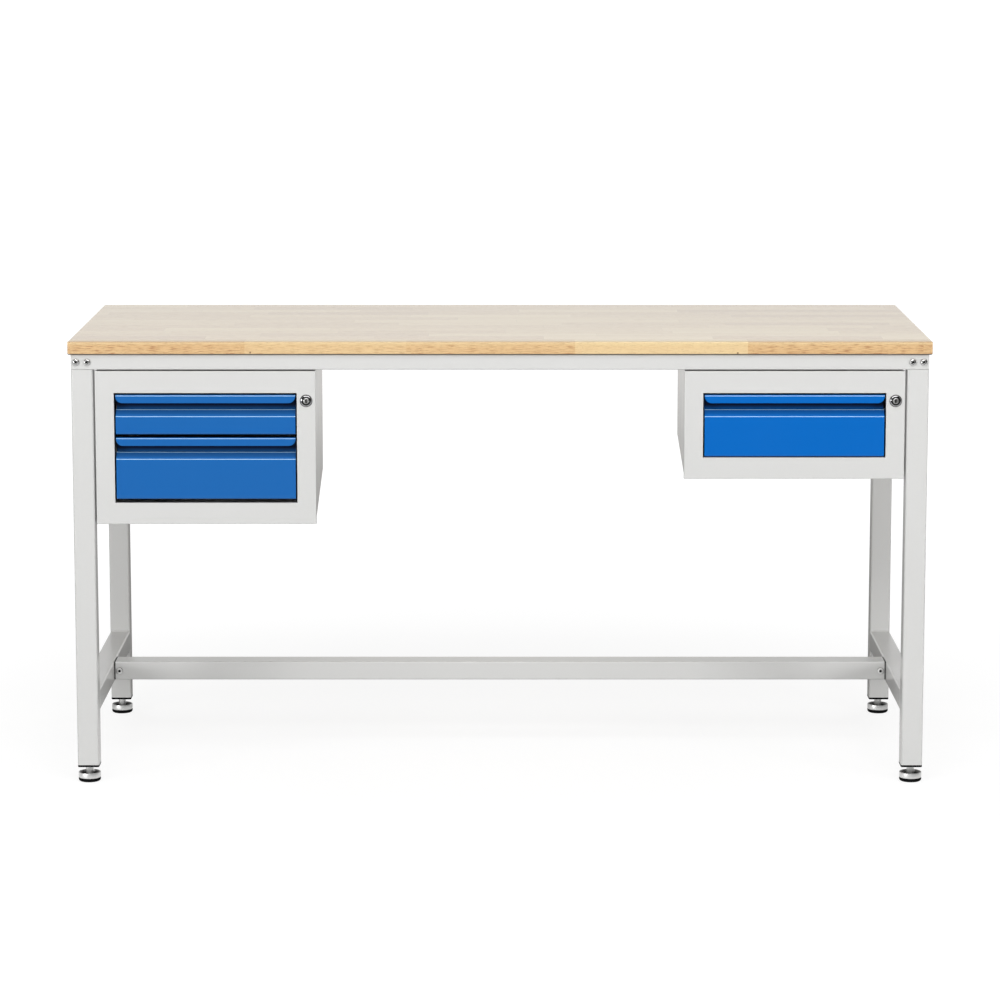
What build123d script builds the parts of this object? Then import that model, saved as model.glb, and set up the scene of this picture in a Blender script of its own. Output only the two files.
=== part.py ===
from build123d import *
import os
from math import pi, sin

# Steel workbench with a laminated top, two drawer cabinets hung under it and four levelling feet.
# Millimetres. X runs along the bench, the front faces -Y and +Z is up.
# The origin is on the floor, under the middle of the worktop.

# Overall
bench_length = 1800.0
bench_depth = 750.0
bench_height = 940.0

# Worktop
top_thickness = 27.0
top_arris = 1.5
bottom_arris = 3.0
top_corner = 3.0
top_side_overhang = 6.0
top_front_overhang = 7.0

# Frame tubes
tube_size = 45.0
tube_wall = 2.0
tube_radius = 4.0
leg_end_height = 38.0
side_rail_height = 148.0

# Front and rear rails, with the top bars and end plates that they are bolted to
rail_height = 32.0
rail_sheet = 2.5
rail_flange = 30.0
rail_bend = 2.5
rail_end_gap = 0.5
bar_wall = 2.0
bar_radius = 3.0
end_plate = 4.0
end_plate_clearance = 0.1

# Foot rail and its spigots
foot_rail_depth = 60.0
foot_rail_height = 40.0
foot_rail_wall = 2.0
foot_rail_radius = 3.0
foot_rail_gap = 2.5
foot_rail_bolt_inset = 9.0
spigot_wall = 2.0
spigot_length = 60.0
spigot_clearance = 0.3

# Button-head bolts
bolt_diameter = 8.0
bolt_head = 14.5
bolt_head_height = 4.4
bolt_head_round = 3.3
bolt_socket = 5.0
bolt_socket_depth = 2.6
bolt_length = 14.0
bolt_spacing = 23.0
bolt_clearance = 0.2

# Wood screws
screw_diameter = 4.5
screw_head = 9.0
screw_head_height = 2.6
screw_head_round = 1.5
screw_bite = 18.0
screw_clearance = 0.2
rail_screw_count = 5
rail_screw_span = 1500.0

# Leg plugs and levelling feet
plug_flange = 4.5
plug_depth = 22.0
plug_clearance = 0.2
plug_chamfer = 0.6
stud_diameter = 10.0
stud_clearance = 0.1
stud_reach = 55.0
hexagon_across = 14.0
hexagon_gap = 3.0
cup_diameter = 47.0
cup_height = 13.0
cup_round = 3.0
cup_rim = 5.0
cup_recess = 6.0
cup_well = 24.0
rubber_height = 7.0
rubber_round = 5.0

# Cabinets
cabinet_width = 460.0
cabinet_leg_gap = 4.0
cabinet_rail_gap = 3.0
fascia_setback = 2.0
fascia_sheet = 1.5
fascia_return = 15.0
fascia_bend = 1.4
stile_width = 39.0
header_height = 46.0
sill_height = 45.0
opening_return = 10.0
housing_depth = 340.0
housing_sheet = 1.5
hanging_flange = 25.0
hanging_screw_inset = 45.0
hanging_rail_gap = 5.0
back_flange = 12.0
floor_sheet = 1.2
floor_flange = 15.0
left_floor_rise = 70.0
right_floor_rise = 48.0

# Drawer fronts
small_front_height = 83.5
large_front_height = 130.0
front_side_gap = 3.5
front_top_gap = 4.0
front_between_gap = 6.5
left_sill_gap = 8.0
right_sill_gap = 2.0
front_setback = 1.0
front_sheet = 1.2
front_bend = 2.0
lip_height = 17.5
lip_corner = 14.0
grip_depth = 26.0
ramp_depth = 15.0
ramp_top_drop = 29.5
ramp_foot_drop = 46.0
gutter_drop = 50.0
front_side_return = 14.0
front_return_gap = 6.0

# Drawer trays
tray_side_gap = 15.0
tray_length = 298.0
tray_sheet = 1.0
tray_hem = 5.0
small_tray_height = 60.0
large_tray_height = 85.0
small_tray_lift = 9.0
large_tray_lift = 32.0

# Telescopic runners
runner_length = 280.0
runner_height = 38.0
runner_thickness = 12.7
runner_sheet = 1.2
runner_clearance = 0.4
runner_outer_depth = 9.5
runner_setback = 17.0
bracket_sheet = 1.5
bracket_margin = 3.0

# Locks
lock_drop = 16.5
lock_bezel = 24.0
lock_bezel_height = 3.5
lock_bezel_round = 3.0
lock_body_diameter = 18.0
lock_body_length = 24.0
lock_nut_across = 24.0
lock_nut_height = 5.0
lock_hole_clearance = 0.2
barrel_diameter = 15.0
barrel_clearance = 0.1
barrel_recess = 0.6
barrel_round = 1.0
key_slot_width = 2.4
key_slot_height = 9.0
key_slot_depth = 12.0
tail_diameter = 8.0
cam_sheet = 2.5
cam_gap = 0.5
cam_throw = 12.0
cam_pin_diameter = 5.0
cam_edge = 2.5
lock_bar_sheet = 3.0
lock_bar_gap = 2.0
lock_bar_clearance = 0.5
lock_bar_stem = 14.0
lock_bar_margin = 6.0
hook_height = 10.0
hook_clearance = 0.8
guide_sheet = 1.5
guide_height = 10.0
guide_drop = 6.0

# How far a cut runs past the face that it opens, and the sharpest inside corner of a tube
overcut = 1.0
sharpest_corner = 0.5

# Places that follow from the sizes
frame_half_length = bench_length / 2 - top_side_overhang
frame_half_depth = bench_depth / 2 - top_front_overhang
leg_x = frame_half_length - tube_size / 2
leg_y = frame_half_depth - tube_size / 2
inner_x = frame_half_length - tube_size
inner_y = frame_half_depth - tube_size
under_top = bench_height - top_thickness
leg_top = under_top - rail_height
rail_middle = leg_top + rail_height / 2
side_rail_middle = side_rail_height + tube_size / 2
foot_rail_top = side_rail_height + tube_size
foot_rail_end = inner_x - foot_rail_gap
plug_bottom = leg_end_height - plug_flange
fascia_front = -frame_half_depth + fascia_setback
fascia_back = fascia_front + fascia_return
housing_back = fascia_front + housing_depth
hanging_front = -frame_half_depth + rail_flange + hanging_rail_gap
drawer_face = fascia_front + front_setback
tray_front = drawer_face + grip_depth
runner_front = tray_front + runner_setback
opening_width = cabinet_width - 2 * stile_width
front_width = opening_width - 2 * front_side_gap
tray_width = opening_width - 2 * tray_side_gap
runner_half_span = tray_width / 2 + runner_thickness

parts = {}


def block(x, y, z):
    """A box between three pairs of low and high values."""
    spans = (x, y, z)
    size = [high - low for low, high in spans]
    middle = [(high + low) / 2 for low, high in spans]
    return Pos(*middle) * Box(*size)


def tube(plane, width, height, length, wall, radius):
    """A hollow section with rounded corners, drawn both ways from a plane."""
    inner_radius = max(radius - wall, sharpest_corner)
    section = RectangleRounded(width, height, radius)
    section -= RectangleRounded(width - 2 * wall, height - 2 * wall, inner_radius)
    return extrude(plane * section, length / 2, both=True)


def folded(points, sheet, bend):
    """A face for a folded sheet that lies to the right of its path, with one bend or one for each corner."""
    path = FilletPolyline(*points, radius=bend)
    return make_face(path.wire().offset_2d(sheet, kind=Kind.INTERSECTION, side=Side.RIGHT, closed=True))


def rod(diameter, low, high):
    """A round bar along Z between two heights."""
    return Pos(0, 0, (low + high) / 2) * Cylinder(diameter / 2, high - low)


def hexagon(across, low, high):
    """A six-sided prism along Z between two heights."""
    return Pos(0, 0, low) * extrude(RegularPolygon(across / 2, 6, major_radius=False), high - low)


def along_y(shape, x, y, z):
    """Turn a shape's +Z to +Y and move its origin to a point."""
    return Pos(x, y, z) * Rot(-90, 0, 0) * shape


def group(solids):
    """Separate solids that share one node."""
    return Compound(children=[solid for shape in solids for solid in shape.solids()])


def button_bolt():
    """A button-head socket bolt, with its head above Z = 0 and its shank below."""
    head = rod(bolt_head, 0, bolt_head_height)
    rim = head.edges().group_by(Axis.Z)[-1]
    head = fillet(rim, bolt_head_round)
    socket = hexagon(bolt_socket, bolt_head_height - bolt_socket_depth, bolt_head_height)
    return head + rod(bolt_diameter, -bolt_length, 0) - socket


def wood_screw():
    """A pan-head screw, with its head below Z = 0 and its shank above."""
    head = rod(screw_head, -screw_head_height, 0)
    rim = head.edges().group_by(Axis.Z)[0]
    return fillet(rim, screw_head_round) + rod(screw_diameter, 0, screw_bite)


class Cabinet:
    """Where the sheets, opening and drawers of one cabinet lie."""

    def __init__(self, name, x_low, heights, sill_gap, floor_rise):
        self.name = name
        self.x = (x_low, x_low + cabinet_width)
        self.middle = x_low + cabinet_width / 2
        self.opening_x = (self.x[0] + stile_width, self.x[1] - stile_width)
        self.panel_x = (self.x[0] + fascia_sheet, self.x[1] - fascia_sheet)
        self.inner_x = (self.panel_x[0] + housing_sheet, self.panel_x[1] - housing_sheet)
        self.top = leg_top - cabinet_rail_gap
        self.opening_top = self.top - header_height
        edge = self.opening_top - front_top_gap
        self.fronts = []
        for height in heights:
            self.fronts.append((edge - height, edge))
            edge -= height + front_between_gap
        self.opening_z = (self.fronts[-1][0] - sill_gap, self.opening_top)
        self.bottom = self.opening_z[0] - sill_height
        self.floor_front = self.bottom + fascia_sheet
        self.floor_back = self.bottom + floor_rise
        self.lock_x = self.x[1] - stile_width / 2
        self.lock_z = self.opening_top - lock_drop


left = Cabinet("left", -inner_x + cabinet_leg_gap, [small_front_height, large_front_height],
               left_sill_gap, left_floor_rise)
right = Cabinet("right", inner_x - cabinet_leg_gap - cabinet_width, [large_front_height],
                right_sill_gap, right_floor_rise)


class Drawer:
    """Where one drawer's front, tray and runners lie."""

    def __init__(self, name, cabinet, front, tray_height, tray_lift):
        self.name = name
        self.cabinet = cabinet
        self.front = front
        self.tray_z = (front[0] + tray_lift, front[0] + tray_lift + tray_height)
        self.runner_z = self.tray_z[0] + tray_height / 2


drawers = [
    Drawer("upper_left", left, left.fronts[0], small_tray_height, small_tray_lift),
    Drawer("lower_left", left, left.fronts[1], large_tray_height, large_tray_lift),
    Drawer("right", right, right.fronts[0], large_tray_height, large_tray_lift),
]


def drawers_of(cabinet):
    """The drawers that one cabinet holds, from the top down."""
    return [drawer for drawer in drawers if drawer.cabinet is cabinet]


# Screw places under the worktop

def rail_screw_places():
    """Where screws pass up through the rails' top flanges."""
    pitch = rail_screw_span / (rail_screw_count - 1)
    row = [-rail_screw_span / 2 + pitch * index for index in range(rail_screw_count)]
    y = frame_half_depth - rail_flange / 2
    return [(x, side * y) for side in (-1, 1) for x in row]


def hanging_screw_places():
    """Where screws pass up through the cabinets' hanging flanges."""
    places = []
    for cabinet in (left, right):
        low, high = cabinet.inner_x
        for x in (low + hanging_flange / 2, high - hanging_flange / 2):
            for y in (hanging_front + hanging_screw_inset, housing_back - hanging_screw_inset):
                places.append((x, y))
    return places


# Worktop

def worktop():
    """The laminated top, with eased edges and pilot holes from below."""
    top = block((-bench_length / 2, bench_length / 2), (-bench_depth / 2, bench_depth / 2),
                (under_top, bench_height))
    top = fillet(top.edges().filter_by(Axis.Z), top_corner)
    top = fillet(top.faces().sort_by(Axis.Z)[-1].edges(), top_arris)
    top = fillet(top.faces().sort_by(Axis.Z)[0].edges(), bottom_arris)
    hole = rod(screw_diameter + 2 * screw_clearance, -overcut, screw_bite + screw_clearance)
    for x, y in rail_screw_places():
        top -= Pos(x, y, under_top - rail_sheet) * hole
    for x, y in hanging_screw_places():
        top -= Pos(x, y, under_top - housing_sheet) * hole
    return top


# Frame

def bolt_row():
    """The X places of the two bolts at each rail end."""
    return [side * (leg_x + step * bolt_spacing / 2) for side in (-1, 1) for step in (-1, 1)]


def front_rail():
    """A folded channel whose face laps over the ends of the top bars."""
    face = -frame_half_depth
    back = face + rail_flange
    section = folded([(back, leg_top), (face, leg_top), (face, under_top), (back, under_top)],
                     rail_sheet, rail_bend)
    rail = extrude(Plane.YZ * section, frame_half_length, both=True)
    flange_end = inner_x - rail_end_gap
    for low, high in ((-frame_half_length, -flange_end), (flange_end, frame_half_length)):
        rail -= block((low, high), (face + rail_sheet, back), (leg_top, under_top))
    hole = rod(bolt_diameter + 2 * bolt_clearance, -overcut, rail_sheet + overcut)
    for x in bolt_row():
        rail -= along_y(hole, x, face, rail_middle)
    screw_hole = rod(screw_diameter + 2 * screw_clearance, -rail_sheet - overcut, overcut)
    for x, y in rail_screw_places():
        if y < 0:
            rail -= Pos(x, y, under_top) * screw_hole
    return rail


def top_bar(side):
    """The tube that joins two leg tops and carries the rail ends."""
    length = 2 * (frame_half_depth - rail_sheet)
    bar = tube(Plane.XZ, tube_size, rail_height, length, bar_wall, bar_radius)
    return Pos(side * leg_x, 0, rail_middle) * bar


def bar_end_plates():
    """The tapped plates in the ends of the top bars."""
    width = tube_size - 2 * bar_wall - 2 * end_plate_clearance
    height = rail_height - 2 * bar_wall - 2 * end_plate_clearance
    plate = extrude(RectangleRounded(width, height, bar_radius), end_plate)
    hole = rod(bolt_diameter + 2 * bolt_clearance, -overcut, end_plate + overcut)
    for step in (-1, 1):
        plate -= Pos(step * bolt_spacing / 2, 0, 0) * hole
    start = -frame_half_depth + rail_sheet
    front = [along_y(plate, side * leg_x, start, rail_middle) for side in (-1, 1)]
    return group(front + [mirror(solid, Plane.XZ) for solid in front])


def leg(side, end):
    """One square leg from the plug to the top bar."""
    length = leg_top - leg_end_height
    post = tube(Plane.XY, tube_size, tube_size, length, tube_wall, tube_radius)
    return Pos(side * leg_x, end * leg_y, leg_end_height + length / 2) * post


def side_rail(side):
    """The lower tube between a front leg and a rear leg."""
    rail = tube(Plane.XZ, tube_size, tube_size, 2 * inner_y, tube_wall, tube_radius)
    return Pos(side * leg_x, 0, side_rail_middle) * rail


def foot_rail_bolt_places():
    """Where a bolt passes through each end of the foot rail."""
    return [side * (foot_rail_end - foot_rail_bolt_inset) for side in (-1, 1)]


def cut_foot_rail_bolts(shape):
    """Drill a shape for the foot rail's bolts."""
    hole = rod(bolt_diameter + 2 * bolt_clearance, -overcut, foot_rail_depth / 2)
    for x in foot_rail_bolt_places():
        shape -= along_y(hole, x, -foot_rail_depth / 2, foot_rail_top - foot_rail_height / 2)
    return shape


def foot_rail():
    """The flat tube between the side rails, drilled near its ends."""
    rail = tube(Plane.YZ, foot_rail_depth, foot_rail_height, 2 * foot_rail_end,
                foot_rail_wall, foot_rail_radius)
    return cut_foot_rail_bolts(Pos(0, 0, foot_rail_top - foot_rail_height / 2) * rail)


def foot_rail_spigots():
    """The moulded stubs on the side rails that fit inside the foot rail, each with a flange at its end."""
    shrink = 2 * (foot_rail_wall + spigot_clearance)
    stub = tube(Plane.YZ, foot_rail_depth - shrink, foot_rail_height - shrink, spigot_length,
                spigot_wall, foot_rail_radius)
    flange = tube(Plane.YZ, foot_rail_depth, foot_rail_height, foot_rail_gap,
                  foot_rail_wall + spigot_clearance + spigot_wall, foot_rail_radius)
    height = foot_rail_top - foot_rail_height / 2
    spigots = []
    for side in (-1, 1):
        spigot = Pos(side * (inner_x - spigot_length / 2), 0, height) * stub
        spigot += Pos(side * (inner_x - foot_rail_gap / 2), 0, height) * flange
        spigots.append(cut_foot_rail_bolts(spigot))
    return group(spigots)


def rail_bolts():
    """The bolts at the ends of the front and rear rails."""
    front = [Pos(x, -frame_half_depth, rail_middle) * Rot(90, 0, 0) * button_bolt() for x in bolt_row()]
    return group(front + [mirror(bolt, Plane.XZ) for bolt in front])


def foot_rail_bolts():
    """The bolts through the front of the foot rail."""
    y = -foot_rail_depth / 2
    z = foot_rail_top - foot_rail_height / 2
    return group([Pos(x, y, z) * Rot(90, 0, 0) * button_bolt() for x in foot_rail_bolt_places()])


def worktop_screws():
    """The screws from the rails into the worktop."""
    return group([Pos(x, y, under_top - rail_sheet) * wood_screw() for x, y in rail_screw_places()])


def leg_plugs():
    """The plastic plugs in the leg ends, each with a bush for a foot's stud."""
    flange = extrude(RectangleRounded(tube_size, tube_size, tube_radius), plug_flange)
    flange = chamfer(flange.faces().sort_by(Axis.Z)[0].edges(), plug_chamfer)
    inside = tube_size - 2 * tube_wall - 2 * plug_clearance
    insert = extrude(RectangleRounded(inside, inside, tube_radius - tube_wall + plug_clearance), plug_depth)
    plug = flange + Pos(0, 0, plug_flange) * insert
    plug -= rod(stud_diameter + 2 * stud_clearance, -overcut, plug_flange + plug_depth + overcut)
    return group([Pos(side * leg_x, end * leg_y, plug_bottom) * plug for side in (-1, 1) for end in (-1, 1)])


# Levelling feet

def foot(x, y):
    """A threaded stud with its hexagon and the bright cup below it."""
    radius = cup_diameter / 2
    base = rubber_height
    rim = base + cup_height
    well = rim - cup_recess
    with BuildSketch(Plane.XZ) as cup:
        with BuildLine():
            Polyline((0, well), (0, base), (radius, base), (radius, rim - cup_round))
            RadiusArc((radius, rim - cup_round), (radius - cup_round, rim), -cup_round)
            Polyline((radius - cup_round, rim), (radius - cup_rim, rim), (cup_well / 2, well), (0, well))
        make_face()
    solid = revolve(cup.sketch, Axis.Z)
    solid += hexagon(hexagon_across, well, plug_bottom - hexagon_gap)
    solid += rod(stud_diameter, well, leg_end_height + stud_reach)
    return Pos(x, y, 0) * solid


def foot_rubber(x, y):
    """The rubber base under a foot's cup, rounded towards the floor."""
    pad = rod(cup_diameter, 0, rubber_height)
    return Pos(x, y, 0) * fillet(pad.edges().group_by(Axis.Z)[0], rubber_round)


# Cabinets

def fascia(cabinet):
    """The folded front frame, with returns round its edge and its opening and a lock hole."""
    outside = (cabinet.bottom, cabinet.top)
    frame = block(cabinet.x, (fascia_front, fascia_back), outside)
    front_face = frame.faces().sort_by(Axis.Y)[0]
    frame = fillet(front_face.edges(), fascia_bend)
    inside_x = (cabinet.x[0] + fascia_sheet, cabinet.x[1] - fascia_sheet)
    inside_z = (outside[0] + fascia_sheet, outside[1] - fascia_sheet)
    frame -= block(inside_x, (fascia_front + fascia_sheet, fascia_back + overcut), inside_z)
    grown_x = (cabinet.opening_x[0] - fascia_sheet, cabinet.opening_x[1] + fascia_sheet)
    grown_z = (cabinet.opening_z[0] - fascia_sheet, cabinet.opening_z[1] + fascia_sheet)
    frame += block(grown_x, (fascia_front + fascia_sheet, fascia_front + opening_return), grown_z)
    frame -= block(cabinet.opening_x, (fascia_front - overcut, fascia_back + overcut), cabinet.opening_z)
    hole = rod(lock_body_diameter + 2 * lock_hole_clearance, -overcut, fascia_sheet + overcut)
    return frame - along_y(hole, cabinet.lock_x, fascia_front, cabinet.lock_z)


def side_panel(cabinet, hand):
    """A side sheet with a rising lower edge and a hanging flange under the worktop."""
    front = fascia_front + fascia_sheet
    shoulder = cabinet.top - fascia_sheet
    outline = Polyline((front, cabinet.floor_front), (fascia_back, cabinet.floor_front),
                       (housing_back, cabinet.floor_back), (housing_back, under_top),
                       (hanging_front, under_top), (hanging_front, shoulder), (front, shoulder), close=True)
    sheet = extrude(Plane.YZ * make_face(outline), housing_sheet)
    flange_back = housing_back - housing_sheet - hanging_rail_gap
    flange = block((0, housing_sheet + hanging_flange), (hanging_front, flange_back),
                   (under_top - housing_sheet, under_top))
    panel = Pos(cabinet.panel_x[0], 0, 0) * (sheet + flange)
    hole = rod(screw_diameter + 2 * screw_clearance, -housing_sheet - overcut, overcut)
    for y in (hanging_front + hanging_screw_inset, housing_back - hanging_screw_inset):
        panel -= Pos(cabinet.inner_x[0] + hanging_flange / 2, y, under_top) * hole
    if hand > 0:
        panel = mirror(panel, Plane.YZ.offset(cabinet.middle))
    return panel


def back_panel(cabinet):
    """The rear sheet, with flanges along the side panels."""
    low = cabinet.floor_back + floor_flange
    x_low, x_high = cabinet.inner_x
    z = (low, under_top - housing_sheet)
    sheet = block((x_low, x_high), (housing_back - housing_sheet, housing_back), z)
    for x in ((x_low, x_low + housing_sheet), (x_high - housing_sheet, x_high)):
        z_flange = (low, under_top - 2 * housing_sheet)
        sheet += block(x, (housing_back - back_flange, housing_back), z_flange)
    return sheet


def floor_panel(cabinet):
    """The sloping sheet that closes the cabinet below, turned up at the sides and rear."""
    def strip(thickness):
        lift = Polyline((fascia_back, cabinet.floor_front), (housing_back, cabinet.floor_back),
                        (housing_back, cabinet.floor_back + thickness),
                        (fascia_back, cabinet.floor_front + thickness), close=True)
        return Plane.YZ * make_face(lift)
    x_low, x_high = cabinet.inner_x
    sheet = Pos(x_low, 0, 0) * extrude(strip(floor_sheet), x_high - x_low)
    for x in (x_low, x_high - floor_sheet):
        sheet += Pos(x, 0, 0) * extrude(strip(floor_flange), floor_sheet)
    sheet += block((x_low, x_high), (housing_back - floor_sheet, housing_back),
                   (cabinet.floor_back, cabinet.floor_back + floor_flange))
    return sheet


def runner_brackets():
    """The channels that hold the runners off the side panels."""
    solids = []
    for drawer in drawers:
        cabinet = drawer.cabinet
        half = runner_height / 2 + bracket_margin
        x_low = cabinet.inner_x[0] - cabinet.middle
        web = -runner_half_span
        section = folded([(x_low, half), (web, half), (web, -half), (x_low, -half)],
                         bracket_sheet, bracket_sheet)
        channel = extrude(Plane.XZ * section, -runner_length)
        channel = Pos(0, runner_front, drawer.runner_z) * channel
        for solid in (channel, mirror(channel, Plane.YZ)):
            solids.append(Pos(cabinet.middle, 0, 0) * solid)
    return group(solids)


def hanging_screws():
    """The screws from the hanging flanges into the worktop."""
    return group([Pos(x, y, under_top - housing_sheet) * wood_screw() for x, y in hanging_screw_places()])


# Runners

def channel_section(height, web, edge):
    """A folded channel between its web and its free edges, with the sheet inside the given height."""
    half = height / 2
    corners = [(edge, half), (web, half), (web, -half), (edge, -half)]
    if edge > web:
        corners.reverse()
    return folded(corners, runner_sheet, runner_sheet)


def runner_pair(drawer, section):
    """Both runner members of one kind on a drawer, from the section of the -X one."""
    member = extrude(Plane.XZ * section, -runner_length)
    place = Pos(drawer.cabinet.middle, runner_front, drawer.runner_z)
    return [place * solid for solid in (member, mirror(member, Plane.YZ))]


def outer_members(drawer):
    """The members fixed to the brackets."""
    web = -runner_half_span
    return runner_pair(drawer, channel_section(runner_height, web, web + runner_outer_depth))


def middle_members(drawer):
    """The members that run half way, nested in the outer ones."""
    step = runner_sheet + runner_clearance
    web = -runner_half_span + step
    edge = -tray_width / 2 - runner_sheet
    return runner_pair(drawer, channel_section(runner_height - 2 * step, web, edge))


def inner_members(drawer):
    """The members fixed to the tray, nested in the middle ones."""
    step = runner_sheet + runner_clearance
    edge = -runner_half_span + 2 * step
    return runner_pair(drawer, channel_section(runner_height - 4 * step, -tray_width / 2, edge))


# Drawers

def drawer_front(drawer):
    """A pressed front: lip, top, grip wall, gutter, ramp, face and bottom return from one sheet."""
    low, high = drawer.front
    height = high - low
    inner = front_sheet
    foot_edge = -(height - front_sheet)
    path = [(0, -lip_height), (0, 0), (grip_depth, 0), (grip_depth, -gutter_drop),
            (ramp_depth, -gutter_drop), (ramp_depth, -ramp_top_drop),
            (inner, -ramp_foot_drop), (inner, foot_edge), (grip_depth, foot_edge)]
    outside = front_bend + front_sheet
    bends = [outside] * 4 + [front_bend] * 3
    section = folded(path, front_sheet, bends)
    front = extrude(Plane.YZ * section, front_width / 2, both=True)
    edge = front_width / 2
    corner = block((edge - lip_corner, edge), (-overcut, front_sheet + overcut),
                   (-lip_height, lip_corner - lip_height))
    corner -= along_y(rod(2 * lip_corner, -2 * overcut, front_sheet + 2 * overcut),
                      edge - lip_corner, 0, lip_corner - lip_height)
    side_return = block((edge - front_sheet, edge), (front_sheet / 2, front_side_return),
                        (-height + front_return_gap, -ramp_foot_drop - front_return_gap))
    front = front - corner - mirror(corner, Plane.YZ)
    front = front + side_return + mirror(side_return, Plane.YZ)
    return Pos(drawer.cabinet.middle, drawer_face, high) * front


def drawer_tray(drawer):
    """An open tray with hemmed side and rear walls."""
    x = (drawer.cabinet.middle - tray_width / 2, drawer.cabinet.middle + tray_width / 2)
    y = (tray_front, tray_front + tray_length)
    low, high = drawer.tray_z
    tray = block(x, y, (low, high))
    inside_x = (x[0] + tray_sheet, x[1] - tray_sheet)
    inside_y = (y[0] + tray_sheet, y[1] - tray_sheet)
    tray -= block(inside_x, inside_y, (low + tray_sheet, high - tray_sheet))
    mouth_x = (x[0] + tray_hem, x[1] - tray_hem)
    mouth_y = (y[0] + tray_sheet, y[1] - tray_hem)
    return tray - block(mouth_x, mouth_y, (high - 2 * tray_sheet, high + overcut))


# Locks

def bar_front():
    """The Y place of the lock bars' front faces."""
    return fascia_front + lock_body_length + cam_gap + cam_sheet + lock_bar_gap


def lock_body(cabinet):
    """The cylinder's housing with its bezel, and the nut behind the fascia."""
    bezel = rod(lock_bezel, -lock_bezel_height, 0)
    bezel = fillet(bezel.edges().group_by(Axis.Z)[0], lock_bezel_round)
    housing = bezel + rod(lock_body_diameter, 0, lock_body_length)
    housing -= rod(barrel_diameter + 2 * barrel_clearance, -lock_bezel_height - overcut,
                   lock_body_length + overcut)
    nut = hexagon(lock_nut_across, fascia_sheet, fascia_sheet + lock_nut_height)
    nut -= rod(lock_body_diameter + 2 * lock_hole_clearance, 0, fascia_sheet + lock_nut_height + overcut)
    return group([along_y(solid, cabinet.lock_x, fascia_front, cabinet.lock_z) for solid in (housing, nut)])


def lock_barrel(cabinet):
    """The turning plug, with its key slot in front and its tail behind."""
    front = -lock_bezel_height + barrel_recess
    tail_end = lock_body_length + cam_gap + cam_sheet + lock_bar_gap / 2
    plug = rod(barrel_diameter, front, lock_body_length + cam_gap)
    plug = fillet(plug.edges().group_by(Axis.Z)[0], barrel_round)
    plug += rod(tail_diameter, lock_body_length, tail_end)
    slot = block((-key_slot_width / 2, key_slot_width / 2), (-key_slot_height / 2, key_slot_height / 2),
                 (front - overcut, front + key_slot_depth))
    return along_y(plug - slot, cabinet.lock_x, fascia_front, cabinet.lock_z)


def lock_cam(cabinet):
    """The arm on the barrel's tail, with the pin that lifts the lock bar."""
    start = lock_body_length + cam_gap
    end = start + cam_sheet
    half_width = cam_pin_diameter / 2 + cam_edge
    plate = rod(tail_diameter + 2 * cam_edge, start, end)
    plate += block((-cam_throw, 0), (-half_width, half_width), (start, end))
    plate += Pos(-cam_throw, 0, 0) * rod(2 * half_width, start, end)
    plate -= rod(tail_diameter + 2 * barrel_clearance, start - overcut, end + overcut)
    pin_end = end + lock_bar_gap + lock_bar_sheet
    plate += Pos(-cam_throw, 0, 0) * rod(cam_pin_diameter, start, pin_end)
    return along_y(plate, cabinet.lock_x, fascia_front, cabinet.lock_z)


def lock_bar(cabinet):
    """The flat bar behind the stile, slotted for the cam's pin, with a hook for each drawer."""
    y = (bar_front(), bar_front() + lock_bar_sheet)
    x_high = cabinet.inner_x[1] - lock_bar_clearance
    pin = cam_pin_diameter / 2 + lock_bar_clearance
    half_turn_lead = cam_throw * (sin(pi / 4) - 1 / 2)
    slot_x = (cabinet.lock_x - cam_throw - pin, cabinet.lock_x + pin)
    slot_z = (cabinet.lock_z - pin, cabinet.lock_z + pin + half_turn_lead)
    head_z = (slot_z[0] - lock_bar_margin, slot_z[1] + lock_bar_margin)
    hooks = [drawer.runner_z for drawer in drawers_of(cabinet)]
    foot_z = hooks[-1] - hook_height / 2 - guide_drop - guide_height - lock_bar_margin
    bar = block((slot_x[0] - lock_bar_margin / 2, x_high), y, head_z)
    bar += block((x_high - lock_bar_stem, x_high), y, (foot_z, head_z[1]))
    hook_x = cabinet.middle + front_width / 2 + hook_clearance
    for z in hooks:
        bar += block((hook_x, x_high), y, (z - hook_height / 2, z + hook_height / 2))
    return bar - block(slot_x, (y[0] - overcut, y[1] + overcut), slot_z)


def lock_bar_guides():
    """The straps on the side panels that the lock bars slide in."""
    solids = []
    for cabinet in (left, right):
        x_high = cabinet.inner_x[1]
        x_low = x_high - lock_bar_stem - 2 * lock_bar_clearance
        y = (bar_front() - lock_bar_clearance, bar_front() + lock_bar_sheet + lock_bar_clearance)
        for drawer in drawers_of(cabinet):
            high = drawer.runner_z - hook_height / 2 - guide_drop
            z = (high - guide_height, high)
            strap = block((x_low - guide_sheet, x_high), (y[0] - guide_sheet, y[1] + guide_sheet), z)
            passage = block((x_low, x_high + overcut), y, (z[0] - overcut, z[1] + overcut))
            solids.append(strap - passage)
    return group(solids)


# All nodes

parts["worktop"] = worktop()
parts["front_rail"] = front_rail()
parts["rear_rail"] = mirror(parts["front_rail"], Plane.XZ)
parts["bar_end_plates"] = bar_end_plates()
parts["rail_bolts"] = rail_bolts()
parts["worktop_screws"] = worktop_screws()
parts["leg_plugs"] = leg_plugs()
parts["foot_rail"] = foot_rail()
parts["foot_rail_spigots"] = foot_rail_spigots()
parts["foot_rail_bolts"] = foot_rail_bolts()

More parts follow.
